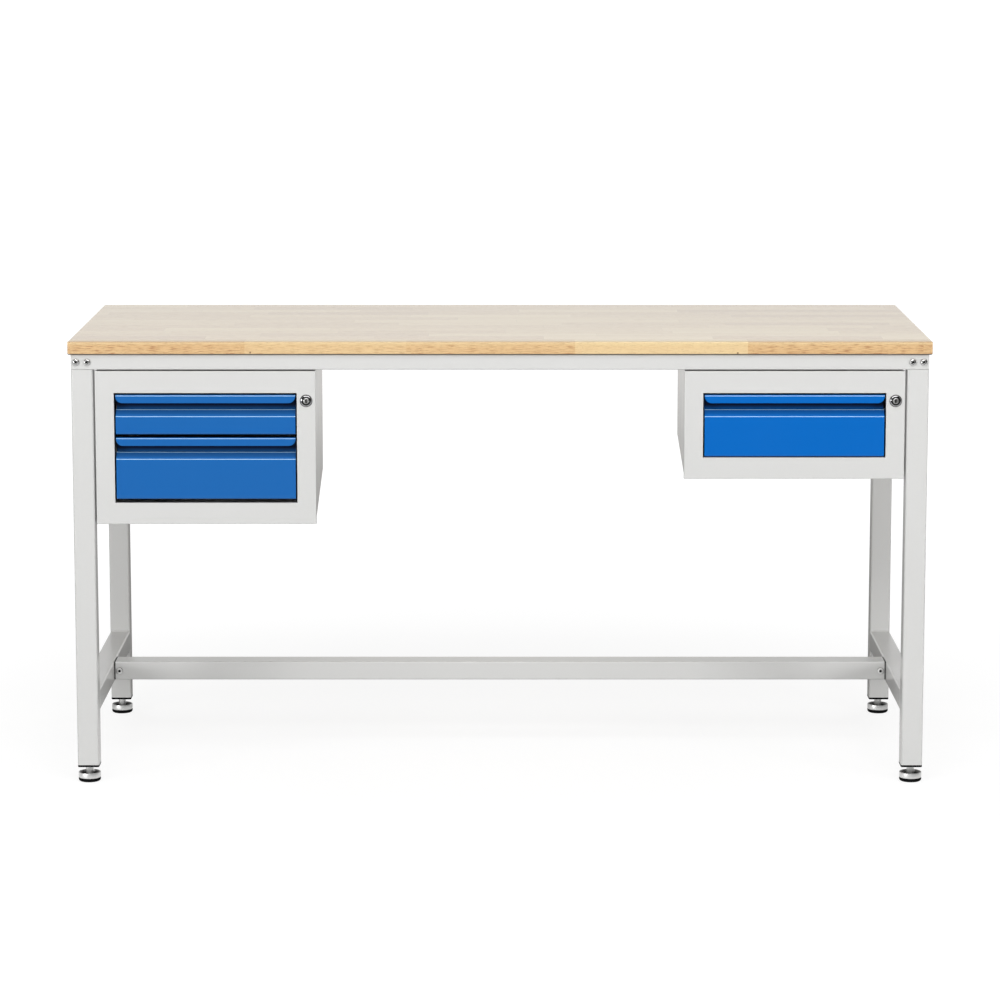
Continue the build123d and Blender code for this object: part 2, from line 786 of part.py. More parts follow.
for side_name, side in (("left", -1), ("right", 1)):
    parts[f"{side_name}_top_bar"] = top_bar(side)
    parts[f"{side_name}_side_rail"] = side_rail(side)
    for end_name, end in (("front", -1), ("rear", 1)):
        parts[f"{end_name}_{side_name}_leg"] = leg(side, end)
        parts[f"{end_name}_{side_name}_foot"] = foot(side * leg_x, end * leg_y)
        parts[f"{end_name}_{side_name}_foot_rubber"] = foot_rubber(side * leg_x, end * leg_y)

for cabinet in (left, right):
    parts[f"{cabinet.name}_fascia"] = fascia(cabinet)
    parts[f"{cabinet.name}_side_panels"] = group([side_panel(cabinet, hand) for hand in (-1, 1)])
    parts[f"{cabinet.name}_back_panel"] = back_panel(cabinet)
    parts[f"{cabinet.name}_floor_panel"] = floor_panel(cabinet)
    parts[f"{cabinet.name}_lock_body"] = lock_body(cabinet)
    parts[f"{cabinet.name}_lock_barrel"] = lock_barrel(cabinet)
    parts[f"{cabinet.name}_lock_cam"] = lock_cam(cabinet)
    parts[f"{cabinet.name}_lock_bar"] = lock_bar(cabinet)

parts["hanging_screws"] = hanging_screws()
parts["lock_bar_guides"] = lock_bar_guides()
parts["runner_brackets"] = runner_brackets()
parts["outer_runners"] = group([member for drawer in drawers for member in outer_members(drawer)])

for drawer in drawers:
    parts[f"{drawer.name}_drawer_front"] = drawer_front(drawer)
    parts[f"{drawer.name}_drawer_tray"] = drawer_tray(drawer)
    parts[f"{drawer.name}_middle_runners"] = group(middle_members(drawer))
    parts[f"{drawer.name}_inner_runners"] = group(inner_members(drawer))

os.makedirs("parts", exist_ok=True)
for node, shape in parts.items():
    export_step(shape, f"parts/{node}.step")
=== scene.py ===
import math

import bmesh
import bpy
from bpy.props import FloatProperty, FloatVectorProperty, IntProperty, PointerProperty
from mathutils import Matrix, Vector


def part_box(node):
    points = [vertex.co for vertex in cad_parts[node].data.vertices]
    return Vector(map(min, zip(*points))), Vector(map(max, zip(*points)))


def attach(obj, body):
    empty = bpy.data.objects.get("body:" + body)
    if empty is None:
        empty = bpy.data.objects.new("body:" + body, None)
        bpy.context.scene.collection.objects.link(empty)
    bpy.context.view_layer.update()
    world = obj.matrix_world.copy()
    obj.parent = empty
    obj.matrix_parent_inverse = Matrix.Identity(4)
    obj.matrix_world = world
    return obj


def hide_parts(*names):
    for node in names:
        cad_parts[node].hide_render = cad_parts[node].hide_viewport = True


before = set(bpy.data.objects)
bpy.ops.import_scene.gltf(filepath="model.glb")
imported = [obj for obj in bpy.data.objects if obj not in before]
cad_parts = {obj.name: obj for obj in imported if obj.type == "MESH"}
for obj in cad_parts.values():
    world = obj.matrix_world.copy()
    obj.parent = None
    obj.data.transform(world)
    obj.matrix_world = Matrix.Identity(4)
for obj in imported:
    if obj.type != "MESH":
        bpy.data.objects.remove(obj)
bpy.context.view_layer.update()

bl_info = {
    "name": "Workbench finish",
    "version": (1, 0, 0),
    "blender": (4, 5, 0),
    "location": "View3D > Sidebar > Workbench",
    "description": "Paints the packed workbench, fits its small hardware and sets up a studio",
    "category": "Object",
}

MM = 0.001
CORNERS = ("front_left", "front_right", "rear_left", "rear_right")
SIDES = ("left", "right")
DRAWERS = ("upper_left", "lower_left", "right")
TOWARD_FRONT = Matrix.Rotation(math.pi / 2, 4, "X")
TINY = 1e-6
# How far a face looks up before it counts as lying flat
LEVEL = 0.99

# Where each stave along the front edge starts, as a share of two metres, and how deep its colour is
FRONT_TONES = ((0.0, 0.84), (0.233, 0.40), (0.399, 0.60), (0.575, 0.12), (0.754, 0.84))
# Places of the small knots along the front edge and up it, and how far they reach
KNOTS = ((-0.5195, 0.918), (0.4945, 0.917))
KNOT_REACH = 0.005
# Half the width of the glue lines along the staves and at their ends
LONG_GLUE = 0.0004
END_GLUE = 0.0005
# How far the broad streaks, the dashes and the flecks are drawn out along the staves
STREAK_SCALE = (2.2, 60.0, 60.0)
DASH_SCALE = (44.0, 520.0, 520.0)
FLECK_SCALE = (150.0, 1500.0, 1500.0)

# Each plating's colour, its roughness and how much that varies
PLATINGS = {
    "zinc": ("zinc", 0.24, 0.16),
    "satin": ("zinc", 0.42, 0.08),
    "bright": ("zinc", 0.30, 0.08),
    "smoked": ("smoked", 0.09, 0.06),
}
# Each black moulding's roughness, and how fine and deep its grain is
MOULDINGS = {"plastic": (0.42, 1400.0, 0.00002), "rubber": (0.72, 700.0, 0.00006)}

# Where a painted highlight lies along the bends of the blue fronts, by how far the sheet there faces up
BEND_HIGHLIGHT = ((0.08, 0.0), (0.20, 1.0), (0.36, 1.0), (0.46, 0.0))
# How far a grip reaches behind the face of a drawer front
GRIP_DEPTH = 0.026
# How the painted shade deepens from the face, at 0, to the back wall of a grip, at 1
GRIP_SHADING = ((0.05, 0.0), (0.16, 0.34), (0.40, 0.60), (0.50, 0.75), (0.60, 1.0))
# Where a painted highlight lies along the upper edge of the ramp, by the same depth
RAMP_HIGHLIGHT = ((0.39, 0.0), (0.43, 0.6), (0.52, 0.6), (0.56, 0.0))
# How the painted shade on the back wall of a grip lightens again, by the drop below the top of the
# drawer front in metres
WALL_SHADE_FADE = ((0.025, 0.0), (0.0325, 0.75))

# What gloss shows of the floor, from five metres in front of the bench, at 0, to ten behind it, at 1
FLOOR_START = -5.0
FLOOR_SPAN = 15.0
FLOOR_SHINE = ((0.07, 0.05), (0.20, 0.40), (0.28, 0.80), (0.352, 0.72),
               (0.37, 0.08), (0.54, 0.16), (0.77, 0.96))
# Where the lamps aim, and the width and height of the lamps at the sides
LAMP_AIM = (0.0, 0.0, 0.6)
FILL_SIZE = (1.6, 1.4)


# Settings that a user would change

def colour_setting(name, description, default):
    return FloatVectorProperty(
        name=name, description=description, subtype="COLOR", size=3, min=0.0, max=1.0, default=default)


def length_setting(name, description, default):
    return FloatProperty(name=name, description=description, unit="LENGTH", min=TINY, default=default)


def power_setting(name, description, default):
    return FloatProperty(name=name, description=description, unit="POWER", min=0.0, default=default)


def level_setting(name, description, default):
    return FloatProperty(
        name=name, description=description, subtype="FACTOR", min=0.0, max=1.0, default=default)


class PaintSettings(bpy.types.PropertyGroup):
    frame_grey: colour_setting(
        "Frame grey", "Powder coat of the frame and the cabinets", (0.61, 0.61, 0.60))
    left_blue: colour_setting(
        "Left blue", "Powder coat of the drawer fronts in the left cabinet", (0.013, 0.122, 0.395))
    right_blue: colour_setting(
        "Right blue", "Powder coat of the drawer front in the right cabinet", (0.002, 0.124, 0.475))
    # Painted highlight: this light blue stands for reflections along the bends of the drawer fronts
    bend_blue: colour_setting(
        "Bend blue", "Blue powder coat where it is drawn thin over a bend", (0.42, 0.70, 0.95))
    # Painted shade: this dark blue stands for the shadow inside the drawer grips and on level faces of
    # the fronts
    grip_primer: colour_setting(
        "Grip primer", "Dark primer that shows inside the drawer grips", (0.004, 0.010, 0.035))
    gloss_roughness: level_setting("Roughness", "Roughness of the cured powder coat", 0.24)
    peel_width: length_setting("Peel width", "Width of one ripple in the cured powder coat", 0.0022)
    peel_depth: length_setting("Peel depth", "Depth of one ripple in the cured powder coat", 0.00002)


class WoodSettings(bpy.types.PropertyGroup):
    pale: colour_setting("Pale stave", "Colour of the palest beech stave", (0.94, 0.765, 0.435))
    deep: colour_setting("Deep stave", "Colour of the most orange beech stave", (0.75, 0.45, 0.205))
    streak: colour_setting("Streak", "Colour of the reddish streaks", (0.40, 0.16, 0.055))
    pore: colour_setting("Pore", "Colour of pores, flecks and knots", (0.16, 0.075, 0.035))
    # Painted sheen: this tone stands for the lacquer's reflection on the upper face
    haze: colour_setting(
        "Haze", "Milky tone that the thick lacquer gives the upper face", (0.70, 0.62, 0.38))
    # Painted shade: this dark brown stands for the shadow along the lower edge of the top
    edge: colour_setting(
        "Sealed edge", "Dark sealer along the lower edge of the top", (0.015, 0.011, 0.009))
    stave_width: length_setting("Stave width", "Width of one glued stave", 0.05357)
    stave_length: length_setting("Stave length", "Length of one glued stave", 0.355)
    margin: length_setting("Front margin", "Strip along the front where the lacquer is thinner", 0.04)


class MetalSettings(bpy.types.PropertyGroup):
    zinc: colour_setting("Zinc", "Bright zinc of bolts, screws, barrels and feet", (0.86, 0.86, 0.85))
    smoked: colour_setting("Smoked chrome", "Dark plating of the lock bezels", (0.50, 0.50, 0.51))
    sheet: colour_setting(
        "Galvanised sheet", "Runners, lock bars, guides and end plates", (0.62, 0.63, 0.64))
    black: colour_setting(
        "Black moulding", "Leg plugs, spigots, lock rings and foot rubbers", (0.004, 0.004, 0.0045))


class FittingSettings(bpy.types.PropertyGroup):
    segments: IntProperty(
        name="Segments", description="Corners of a turned foot", min=12, default=48)
    thread_pitch: length_setting("Thread pitch", "Rise of the foot stud's thread in one turn", 0.0015)
    thread_depth: length_setting("Thread depth", "Depth of the foot stud's thread", 0.0009)
    rivet_radius: length_setting("Rivet radius", "Head of a rivet through a drawer tray", 0.0036)
    weld_radius: length_setting("Weld radius", "Mark that a spot weld leaves in sheet", 0.0032)
    bead_pitch: length_setting("Bead pitch", "Step between the ripples of a weld bead", 0.0016)
    bead_width: length_setting("Bead width", "Half the width of a weld bead", 0.0024)
    seed: IntProperty(
        name="Seed", description="Turns the bolts and screws in their holes", min=0, default=4)


class StageSettings(bpy.types.PropertyGroup):
    focal_length: FloatProperty(
        name="Focal length", description="Lens of the camera on a 36 mm sensor",
        unit="CAMERA", min=10.0, default=134.06)
    distance: length_setting("Camera distance", "From the middle of the bench, along the floor", 8.072)
    height: length_setting("Camera height", "Above the floor", 1.815)
    pitch: FloatProperty(
        name="Camera pitch", description="How far the camera looks down",
        subtype="ANGLE", default=math.radians(8.915))
    key_power: power_setting("Key light", "Power of the soft light above the front", 125.0)
    strip_power: power_setting("Strip light", "Power of the narrow light over the front edge", 33.0)
    side_power: power_setting("Side lights", "Power of each soft light at the sides", 101.0)
    rear_power: power_setting("Rear lights", "Power of each soft light behind the bench", 55.0)
    surround: level_setting("Surround", "Light that comes evenly from all round", 0.31)
    dim_side: level_setting("Dim side", "What metal reflects from behind the camera", 0.04)
    bright_side: level_setting("Bright side", "What gloss reflects from behind the bench", 0.90)
    floor_grey: level_setting("Floor grey", "How much light the floor throws back up", 0.38)


# Node helpers

def find_socket(sockets, key):
    """A socket by its place, its identifier or its name."""
    if isinstance(key, int):
        return sockets[key]
    for socket in sockets:
        if socket.identifier == key:
            return socket
    for socket in sockets:
        if socket.name == key and socket.enabled:
            return socket
    raise KeyError(key)


class Value:
    """An output socket; arithmetic on it adds Math nodes."""

    def __init__(self, graph, socket):
        self.graph = graph
        self.socket = socket

    def other(self, key):
        """Another output of the same node."""
        return Value(self.graph, find_socket(self.socket.node.outputs, key))

    def math(self, operation, *values):
        return self.graph.add("ShaderNodeMath", {"operation": operation}, dict(enumerate(values)))

    def __add__(self, value):
        return self.math("ADD", self, value)

    def __radd__(self, value):
        return self.math("ADD", value, self)

    def __sub__(self, value):
        return self.math("SUBTRACT", self, value)

    def __rsub__(self, value):
        return self.math("SUBTRACT", value, self)

    def __mul__(self, value):
        return self.math("MULTIPLY", self, value)

    def __rmul__(self, value):
        return self.math("MULTIPLY", value, self)

    def __truediv__(self, value):
        return self.math("DIVIDE", self, value)

    def __gt__(self, value):
        return self.math("GREATER_THAN", self, value)

    def __lt__(self, value):
        return self.math("LESS_THAN", self, value)

    def floor(self):
        return self.math("FLOOR", self)

    def fract(self):
        return self.math("FRACT", self)

    def size(self):
        return self.math("ABSOLUTE", self)

    def sine(self):
        return self.math("SINE", self)


class Graph:
    """A node tree that nodes are added to."""

    def __init__(self, tree):
        self.tree = tree

    def add(self, kind, settings=None, inputs=None, output=0):
        """Add one node: its type, its settings, its inputs, and the output that is wanted."""
        node = self.tree.nodes.new(kind)
        for key, value in (settings or {}).items():
            if key == "stops":
                self.set_stops(node.color_ramp, value)
            elif key == "ramp":
                node.color_ramp.interpolation = value
            else:
                setattr(node, key, value)
        for key, value in (inputs or {}).items():
            self.feed(find_socket(node.inputs, key), value)
        return Value(self, find_socket(node.outputs, output)) if node.outputs else None

    def feed(self, socket, value):
        if isinstance(value, Value):
            self.tree.links.new(value.socket, socket)
        else:
            socket.default_value = value

    def set_stops(self, ramp, stops):
        while len(ramp.elements) < len(stops):
            ramp.elements.new(1.0)
        for element, (place, grey) in zip(ramp.elements, stops):
            element.position = place
            element.color = (grey, grey, grey, 1.0)

    def vector(self, operation, *values):
        return self.add("ShaderNodeVectorMath", {"operation": operation}, dict(enumerate(values)))

    def scaled(self, colour, factor):
        """A colour made brighter or darker by a value."""
        return self.add("ShaderNodeVectorMath", {"operation": "SCALE"}, {0: colour, "Scale": factor})

    def mix(self, factor, first, second):
        inputs = {"Factor_Float": factor, "A_Color": rgba(first), "B_Color": rgba(second)}
        return self.add("ShaderNodeMix", {"data_type": "RGBA"}, inputs, "Result_Color")

    def noise(self, place, scale, detail=2.0, roughness=0.5):
        return self.add("ShaderNodeTexNoise", {}, {
            "Vector": place, "Scale": scale, "Detail": detail, "Roughness": roughness})

    def ramp(self, value, stops, interpolation="LINEAR"):
        return self.add("ShaderNodeValToRGB", {"ramp": interpolation, "stops": stops}, {"Fac": value})

    def random(self, value):
        """A random value for each whole number."""
        return self.add("ShaderNodeTexWhiteNoise", {"noise_dimensions": "1D"}, {"W": value}, "Value")

    def object_place(self):
        return self.add("ShaderNodeTexCoord", output="Object")

    def split(self, vector):
        x = self.add("ShaderNodeSeparateXYZ", None, {0: vector}, "X")
        return x, x.other("Y"), x.other("Z")

    def joined(self, x, y, z):
        return self.add("ShaderNodeCombineXYZ", None, {0: x, 1: y, 2: z})

    def bump(self, height, depth, strength=1.0):
        return self.add("ShaderNodeBump", None, {
            "Height": height, "Distance": depth, "Strength": strength}, "Normal")


def rgba(colour):
    return colour if isinstance(colour, Value) or len(colour) == 4 else (*colour, 1.0)


def new_material(name):
    """An empty material with its Graph."""
    material = bpy.data.materials.new(name)
    material.use_nodes = True
    material.node_tree.nodes.clear()
    return material, Graph(material.node_tree)


def finish_material(graph, sockets):
    """Close a material with a Principled shader whose sockets are given."""
    shader = graph.add("ShaderNodeBsdfPrincipled", None, sockets)
    graph.add("ShaderNodeOutputMaterial", None, {"Surface": shader})


def made_once(build):
    """Build a material the first time that it is asked for."""
    def get(*choices):
        name = "_".join((build.__name__, *choices))
        return bpy.data.materials.get(name) or build(name, *choices)
    return get


# Finishes

def peeled_paint(graph, paint, place):
    """How the powder coat's tone, gloss and surface change from place to place."""
    drift = graph.noise(place, 1.8, 3.0) - 0.5
    speck = graph.noise(place, 0.6 / paint.peel_width, 3.0) - 0.5
    haze = graph.noise(place, 9.0, 4.0) - 0.5
    peel = graph.noise(place, 1.0 / paint.peel_width, 1.0)
    return 1.0 + drift * 0.05 + speck * 0.03, haze * 0.12, graph.bump(peel, paint.peel_depth)


@made_once
def grey_powder_coat(name):
    """Light grey powder coat with its faint ripple."""
    paint = bpy.context.scene.bench_paint
    material, graph = new_material(name)
    tone, haze, ripple = peeled_paint(graph, paint, graph.object_place())
    finish_material(graph, {
        "Base Color": graph.scaled(tuple(paint.frame_grey), tone),
        "Roughness": paint.gloss_roughness + haze,
        "Specular IOR Level": 0.42,
        "Normal": ripple,
    })
    return material


@made_once
def blue_powder_coat(name, drawer):
    """Blue powder coat, with painted shade inside the grips and painted highlights along the bends."""
    paint = bpy.context.scene.bench_paint
    low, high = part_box(drawer + "_drawer_front")
    material, graph = new_material(name)
    place = graph.object_place()
    tone, haze, ripple = peeled_paint(graph, paint, place)
    _, across, height = graph.split(place)
    depth = across - low.y
    # Painted shade inside a grip: deeper with depth, lighter low on its back wall, and also on faces
    # that lie level
    wall = graph.ramp(high.z - height, WALL_SHADE_FADE) * (depth > 0.6 * GRIP_DEPTH)
    rise = graph.split(graph.add("ShaderNodeNewGeometry", output="Normal"))[2]
    flat = rise > 0.97
    thin = (graph.ramp(depth / GRIP_DEPTH, GRIP_SHADING) + flat * 0.7) * (1.0 - wall)
    # Painted highlights along the bends and on the upper edge of the ramp
    bends = graph.ramp(rise, BEND_HIGHLIGHT)
    bends += graph.ramp(depth / GRIP_DEPTH, RAMP_HIGHLIGHT) * (rise > 0.4) * (1.0 - flat)
    blue = paint.right_blue if drawer == "right" else paint.left_blue
    colour = graph.scaled(tuple(blue), tone)
    # Painted shade mixed into the blue
    colour = graph.mix(thin, colour, tuple(paint.grip_primer))
    finish_material(graph, {
        "Base Color": graph.mix(bends, colour, tuple(paint.bend_blue)),
        "Roughness": paint.gloss_roughness - 0.06 + haze,
        "Specular IOR Level": 0.36,
        "Normal": ripple,
    })
    return material


def stave_marks(graph, along, across, wood):
    """Number and tone of a stave, and its glue lines, from a place on the top."""
    rows = (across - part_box("worktop")[0].y) / wood.stave_width
    row = rows.floor()
    front = row < 0.5
    inner = 1.0 - front
    runs = along / wood.stave_length + graph.random(row) * 5.0 * inner + front * 0.52
    number = row * 17.0 + runs.floor()
    front_tone = graph.ramp(along * 0.5 + 0.5, FRONT_TONES, "CONSTANT")
    tone = graph.random(number) * inner + front_tone * front
    across_row = (rows.fract() - 0.5).size() * wood.stave_width
    along_run = (runs.fract() - 0.5).size() * wood.stave_length
    glue = across_row > wood.stave_width / 2 - LONG_GLUE
    glue += (along_run > wood.stave_length / 2 - END_GLUE) * inner
    return number, tone, glue


def growth_rings(graph, across, height, number):
    """Rings that show on the sawn ends of the staves."""
    centre = graph.random(number + 0.3) * 0.05 - 0.025
    place = graph.joined(0.0, across + centre, height * 1.6)
    spread = graph.vector("LENGTH", place).other("Value")
    return (spread * 2600.0 + graph.random(number) * 40.0).sine() * 0.5 + 0.5


def knots(graph, along, height, figure):
    """Small dark knots on the front edge, with ragged rims."""
    marks = 0.0
    for x, z in KNOTS:
        away = graph.vector("LENGTH", graph.joined(along - x, 0.0, height - z)).other("Value")
        marks = graph.ramp(away / KNOT_REACH + figure * 0.5, ((0.35, 0.9), (0.75, 0.0))) + marks
    return marks


def beech_grain(graph, place, number):
    """Broad streaks, short dashes and fine flecks, which differ from stave to stave."""
    offset = graph.joined(number * 3.1, number * 1.7, number * 0.7)
    moved = graph.vector("ADD", place, offset)
    streak = graph.noise(graph.vector("MULTIPLY", moved, STREAK_SCALE), 1.0, 5.0, 0.6)
    figure = graph.noise(graph.vector("MULTIPLY", moved, DASH_SCALE), 1.0, 4.0, 0.55)
    fleck = graph.noise(graph.vector("MULTIPLY", moved, FLECK_SCALE), 1.0, 1.0)
    return streak, figure, fleck


def edge_colours(graph, wood, colour, tone, rise, height):
    """Reddish upper arris, paler wood below it along the top of the edges, part wear and part painted
    highlight, and red heartwood on top.
    """
    low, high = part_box("worktop")
    brow = graph.ramp(rise, ((0.15, 0.0), (0.35, 1.0), (0.97, 1.0), (LEVEL, 0.0))) * tone
    colour = graph.mix(brow, colour, tuple(wood.streak))
    # Paler wood along the top of the edges: part wear, part painted highlight
    worn = graph.ramp((height - low.z) / (high.z - low.z), ((0.72, 0.0), (0.94, 0.6))) * (rise < 0.5)
    colour = graph.mix(worn, colour, tuple(wood.pale))
    heart = graph.ramp(tone, ((0.84, 0.0), (0.92, 0.24))) * (rise > LEVEL)
    return graph.mix(heart, colour, tuple(wood.streak))


def lacquer_colours(graph, wood, colour, tone, rise, margin):
    """Painted shade on the lower arris, and painted sheen on the upper face that fades towards the
    front.
    """
    # Painted shade along the lower arris
    arris = graph.ramp(rise * -1.0, ((0.24, 0.0), (0.34, 1.0), (0.97, 1.0), (0.995, 0.0)))
    colour = graph.mix(arris, colour, tuple(wood.edge))
    colour = graph.mix(margin * 0.5 * (rise > LEVEL), colour, tuple(wood.pale))
    # Painted sheen on the upper face, less of it near the front
    painted_sheen = (rise > LEVEL) * (0.14 + tone * 0.22) * (1.0 - margin)
    return graph.mix(painted_sheen, colour, tuple(wood.haze))


@made_once
def lacquered_beech(name):
    """Beech staves glued side by side and end to end, under a clear lacquer."""
    wood = bpy.context.scene.bench_wood
    material, graph = new_material(name)
    place = graph.object_place()
    along, across, height = graph.split(place)
    facing, _, rise = graph.split(graph.add("ShaderNodeNewGeometry", output="Normal"))
    number, tone, glue = stave_marks(graph, along, across, wood)
    streak, figure, fleck = beech_grain(graph, place, number)
    dashes = graph.ramp(figure, ((0.48, 0.0), (0.66, 1.0)))
    flecks = graph.ramp(fleck, ((0.62, 0.0), (0.74, 1.0)))
    sawn = (facing.size() > 0.7) * (growth_rings(graph, across, height, number) * 0.22 + 0.10)
    colour = graph.mix(tone * 0.6 + streak * 0.7 - 0.16 + sawn, tuple(wood.pale), tuple(wood.deep))
    colour = graph.mix(dashes * (tone * 0.85 + 0.12), colour, tuple(wood.streak))
    colour = edge_colours(graph, wood, colour, tone, rise, height)
    marks = flecks * 0.30 + glue * 0.22 + knots(graph, along, height, figure)
    colour = graph.mix(marks, colour, tuple(wood.pore))
    margin = graph.ramp((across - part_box("worktop")[0].y) / wood.margin, ((0.0, 0.9), (1.0, 0.0)))
    colour = lacquer_colours(graph, wood, colour, tone, rise, margin)
    grain = figure * 0.5 + fleck * 0.5 - glue * 0.6
    finish_material(graph, {
        "Base Color": colour,
        "Roughness": 0.34 + figure * 0.14,
        "Specular IOR Level": 0.5,
        "Coat Weight": 0.35 + (rise > 0.7) * (0.50 - margin * 0.9) - flecks * 0.2,
        "Coat Roughness": 0.12,
        "Normal": graph.bump(grain, 0.00003),
    })
    return material


@made_once
def plated_steel(name, plating):
    """Plating with fine turning marks and a cloudy sheen, and painted shade, dark and dull, where a mesh
    marks a recess.
    """
    metal = bpy.context.scene.bench_metal
    colour, rough, spread = PLATINGS[plating]
    material, graph = new_material(name)
    place = graph.object_place()
    # Painted shade that the turned pieces carry in their recesses and along some rims
    recess = graph.add("ShaderNodeAttribute", {"attribute_name": "recess"}, output="Fac")
    cloud = graph.noise(place, 160.0, 3.0) - 0.5
    marks = graph.noise(graph.vector("MULTIPLY", place, (900.0, 900.0, 4200.0)), 1.0, 2.0)
    tone = (1.0 + cloud * 0.14) * (1.0 - recess * 0.96)
    finish_material(graph, {
        "Base Color": graph.scaled(tuple(getattr(metal, colour)), tone),
        "Metallic": 1.0,
        "Roughness": rough + cloud * spread + recess * 0.4,
        "Normal": graph.bump(marks, 0.000004),
    })
    return material


@made_once
def galvanised_sheet(name):
    """Zinc-coated sheet with spangle and rolling marks."""
    metal = bpy.context.scene.bench_metal
    material, graph = new_material(name)
    place = graph.object_place()
    cells = graph.add("ShaderNodeTexVoronoi", None, {"Vector": place, "Scale": 210.0}, "Color")
    spangle = graph.split(cells)[0] - 0.5
    rolling = graph.noise(graph.vector("MULTIPLY", place, (800.0, 14.0, 800.0)), 1.0, 3.0)
    finish_material(graph, {
        "Base Color": graph.scaled(tuple(metal.sheet), 1.0 + spangle * 0.16),
        "Metallic": 1.0,
        "Roughness": 0.36 + spangle * 0.16 + rolling * 0.06,
        "Normal": graph.bump(rolling, 0.000008),
    })
    return material


@made_once
def black_moulding(name, kind):
    """Black polymer: smooth for the plugs, dull and pitted for the foot rubbers."""
    metal = bpy.context.scene.bench_metal
    rough, grain, depth = MOULDINGS[kind]
    material, graph = new_material(name)
    place = graph.object_place()
    pits = graph.noise(place, grain, 2.0)
    dust = graph.noise(place, 60.0, 4.0)
    finish_material(graph, {
        "Base Color": graph.scaled(tuple(metal.black), 0.7 + dust * 0.8),
        "Roughness": rough + (dust - 0.5) * 0.2,
        "Specular IOR Level": 0.05,
        "Normal": graph.bump(pits, depth),
    })
    return material


def paint_nodes(names, material):
    """Give CAD nodes a finish; their shapes stay as they are."""
    for name in names:
        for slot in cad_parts[name].material_slots:
            slot.material = material


# Shapes

def circle(radius):
    return lambda angle: radius


def hexagon(across):
    """Distance to a hexagon's edge, for a hexagon of that width across its flats."""
    def reach(angle):
        turn = angle % (math.pi / 3) - math.pi / 6
        return across / 2 / math.cos(turn)
    return reach


def worn_hexagon(across, limit):
    """A hexagon whose corners are turned off at a radius."""
    edge = hexagon(across)
    return lambda angle: min(edge(angle), limit)


def bar(length, width):
    """Distance to the edge of a bar that lies along X."""
    def reach(angle):
        run, rise = abs(math.cos(angle)), abs(math.sin(angle))
        return min(length / 2 / max(run, TINY), width / 2 / max(rise, TINY))
    return reach


def cross(length, width):
    """Distance to the edge of a cross recess."""
    level, upright = bar(length, width), bar(width, length)
    return lambda angle: max(level(angle), upright(angle))


def thread(radius, depth, pitch, height):
    """Distance to a helical thread at a height."""
    def reach(angle):
        phase = (height / pitch - angle / (2 * math.pi)) % 1.0
        return radius - depth * abs(2.0 * phase - 1.0)
    return reach


def ring_of(bm, outline, height, segments):
    """Vertices of one ring of a turned piece."""
    ring = []
    for step in range(segments):
        angle = 2 * math.pi * step / segments
        radius = outline(angle)
        ring.append(bm.verts.new((radius * math.cos(angle), radius * math.sin(angle), height)))
    return ring


def turned_mesh(name, rings, segments):
    """A closed mesh from rings of (outline, height), with a third value for how much painted shade those
    rings carry, in a recess or along a rim.
    """
    bm = bmesh.new()
    recess = bm.verts.layers.float.new("recess")
    loops = []
    for outline, height, *shade in rings:
        loop = ring_of(bm, outline, height, segments)
        for vert in loop:
            vert[recess] = sum(shade)
        loops.append(loop)
    for lower, upper in zip(loops, loops[1:]):
        join_rings(bm, lower, upper)
    bm.faces.new(loops[0])
    bm.faces.new(loops[-1])
    return finished_mesh(name, bm)


def join_rings(bm, lower, upper):
    """Faces between two rings that have as many vertices."""
    for step in range(len(lower)):
        after = (step + 1) % len(lower)
        bm.faces.new((lower[step], lower[after], upper[after], upper[step]))


def finished_mesh(name, bm):
    """A mesh with its faces turned outwards and its rounded faces smooth."""
    bmesh.ops.recalc_face_normals(bm, faces=bm.faces)
    mesh = bpy.data.meshes.new(name)
    bm.to_mesh(mesh)
    bm.free()
    mesh.shade_smooth()
    mesh.set_sharp_from_angle(angle=math.radians(32))
    return mesh


def ring_mesh(name, rings, segments):
    """A closed hoop from rings of (outline, height), the last joined to the first."""
    bm = bmesh.new()
    loops = [ring_of(bm, outline, height, segments) for outline, height in rings]
    for lower, upper in zip(loops, loops[1:] + loops[:1]):
        join_rings(bm, lower, upper)
    return finished_mesh(name, bm)


def new_piece(name, mesh, material):
    piece = bpy.data.objects.new(name, mesh)
    bpy.context.scene.collection.objects.link(piece)
    if material:
        mesh.materials.clear()
        mesh.materials.append(material)
    return piece


def fit(piece, body, slot, *nodes):
    """Let a piece ride on a body in place of the nodes it stands for, which are hidden; the slot it is
    finished from is not used.
    """
    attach(piece, body)
    if nodes:
        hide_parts(*nodes)


def solids_of(node):
    """The box of each separate solid in a node, lowest and highest corner."""
    bm = bmesh.new()
    bm.from_mesh(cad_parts[node].data)
    bmesh.ops.remove_doubles(bm, verts=bm.verts, dist=TINY)
    boxes = []
    waiting = set(bm.verts)
    while waiting:
        found = collect_linked(waiting)
        low = Vector([min(v.co[axis] for v in found) for axis in range(3)])
        high = Vector([max(v.co[axis] for v in found) for axis in range(3)])
        boxes.append((low, high))
    bm.free()
    return sorted(boxes, key=lambda box: tuple(round(c, 4) for c in box[0]))


def collect_linked(waiting):
    """Take one vertex and all that are joined to it out of a set."""
    stack = [waiting.pop()]
    found = []
    while stack:
        vert = stack.pop()
        found.append(vert)
        for edge in vert.link_edges:
            near = edge.other_vert(vert)
            if near in waiting:
                waiting.remove(near)
                stack.append(near)
    return found


# Geometry Nodes that set one small shape at many places

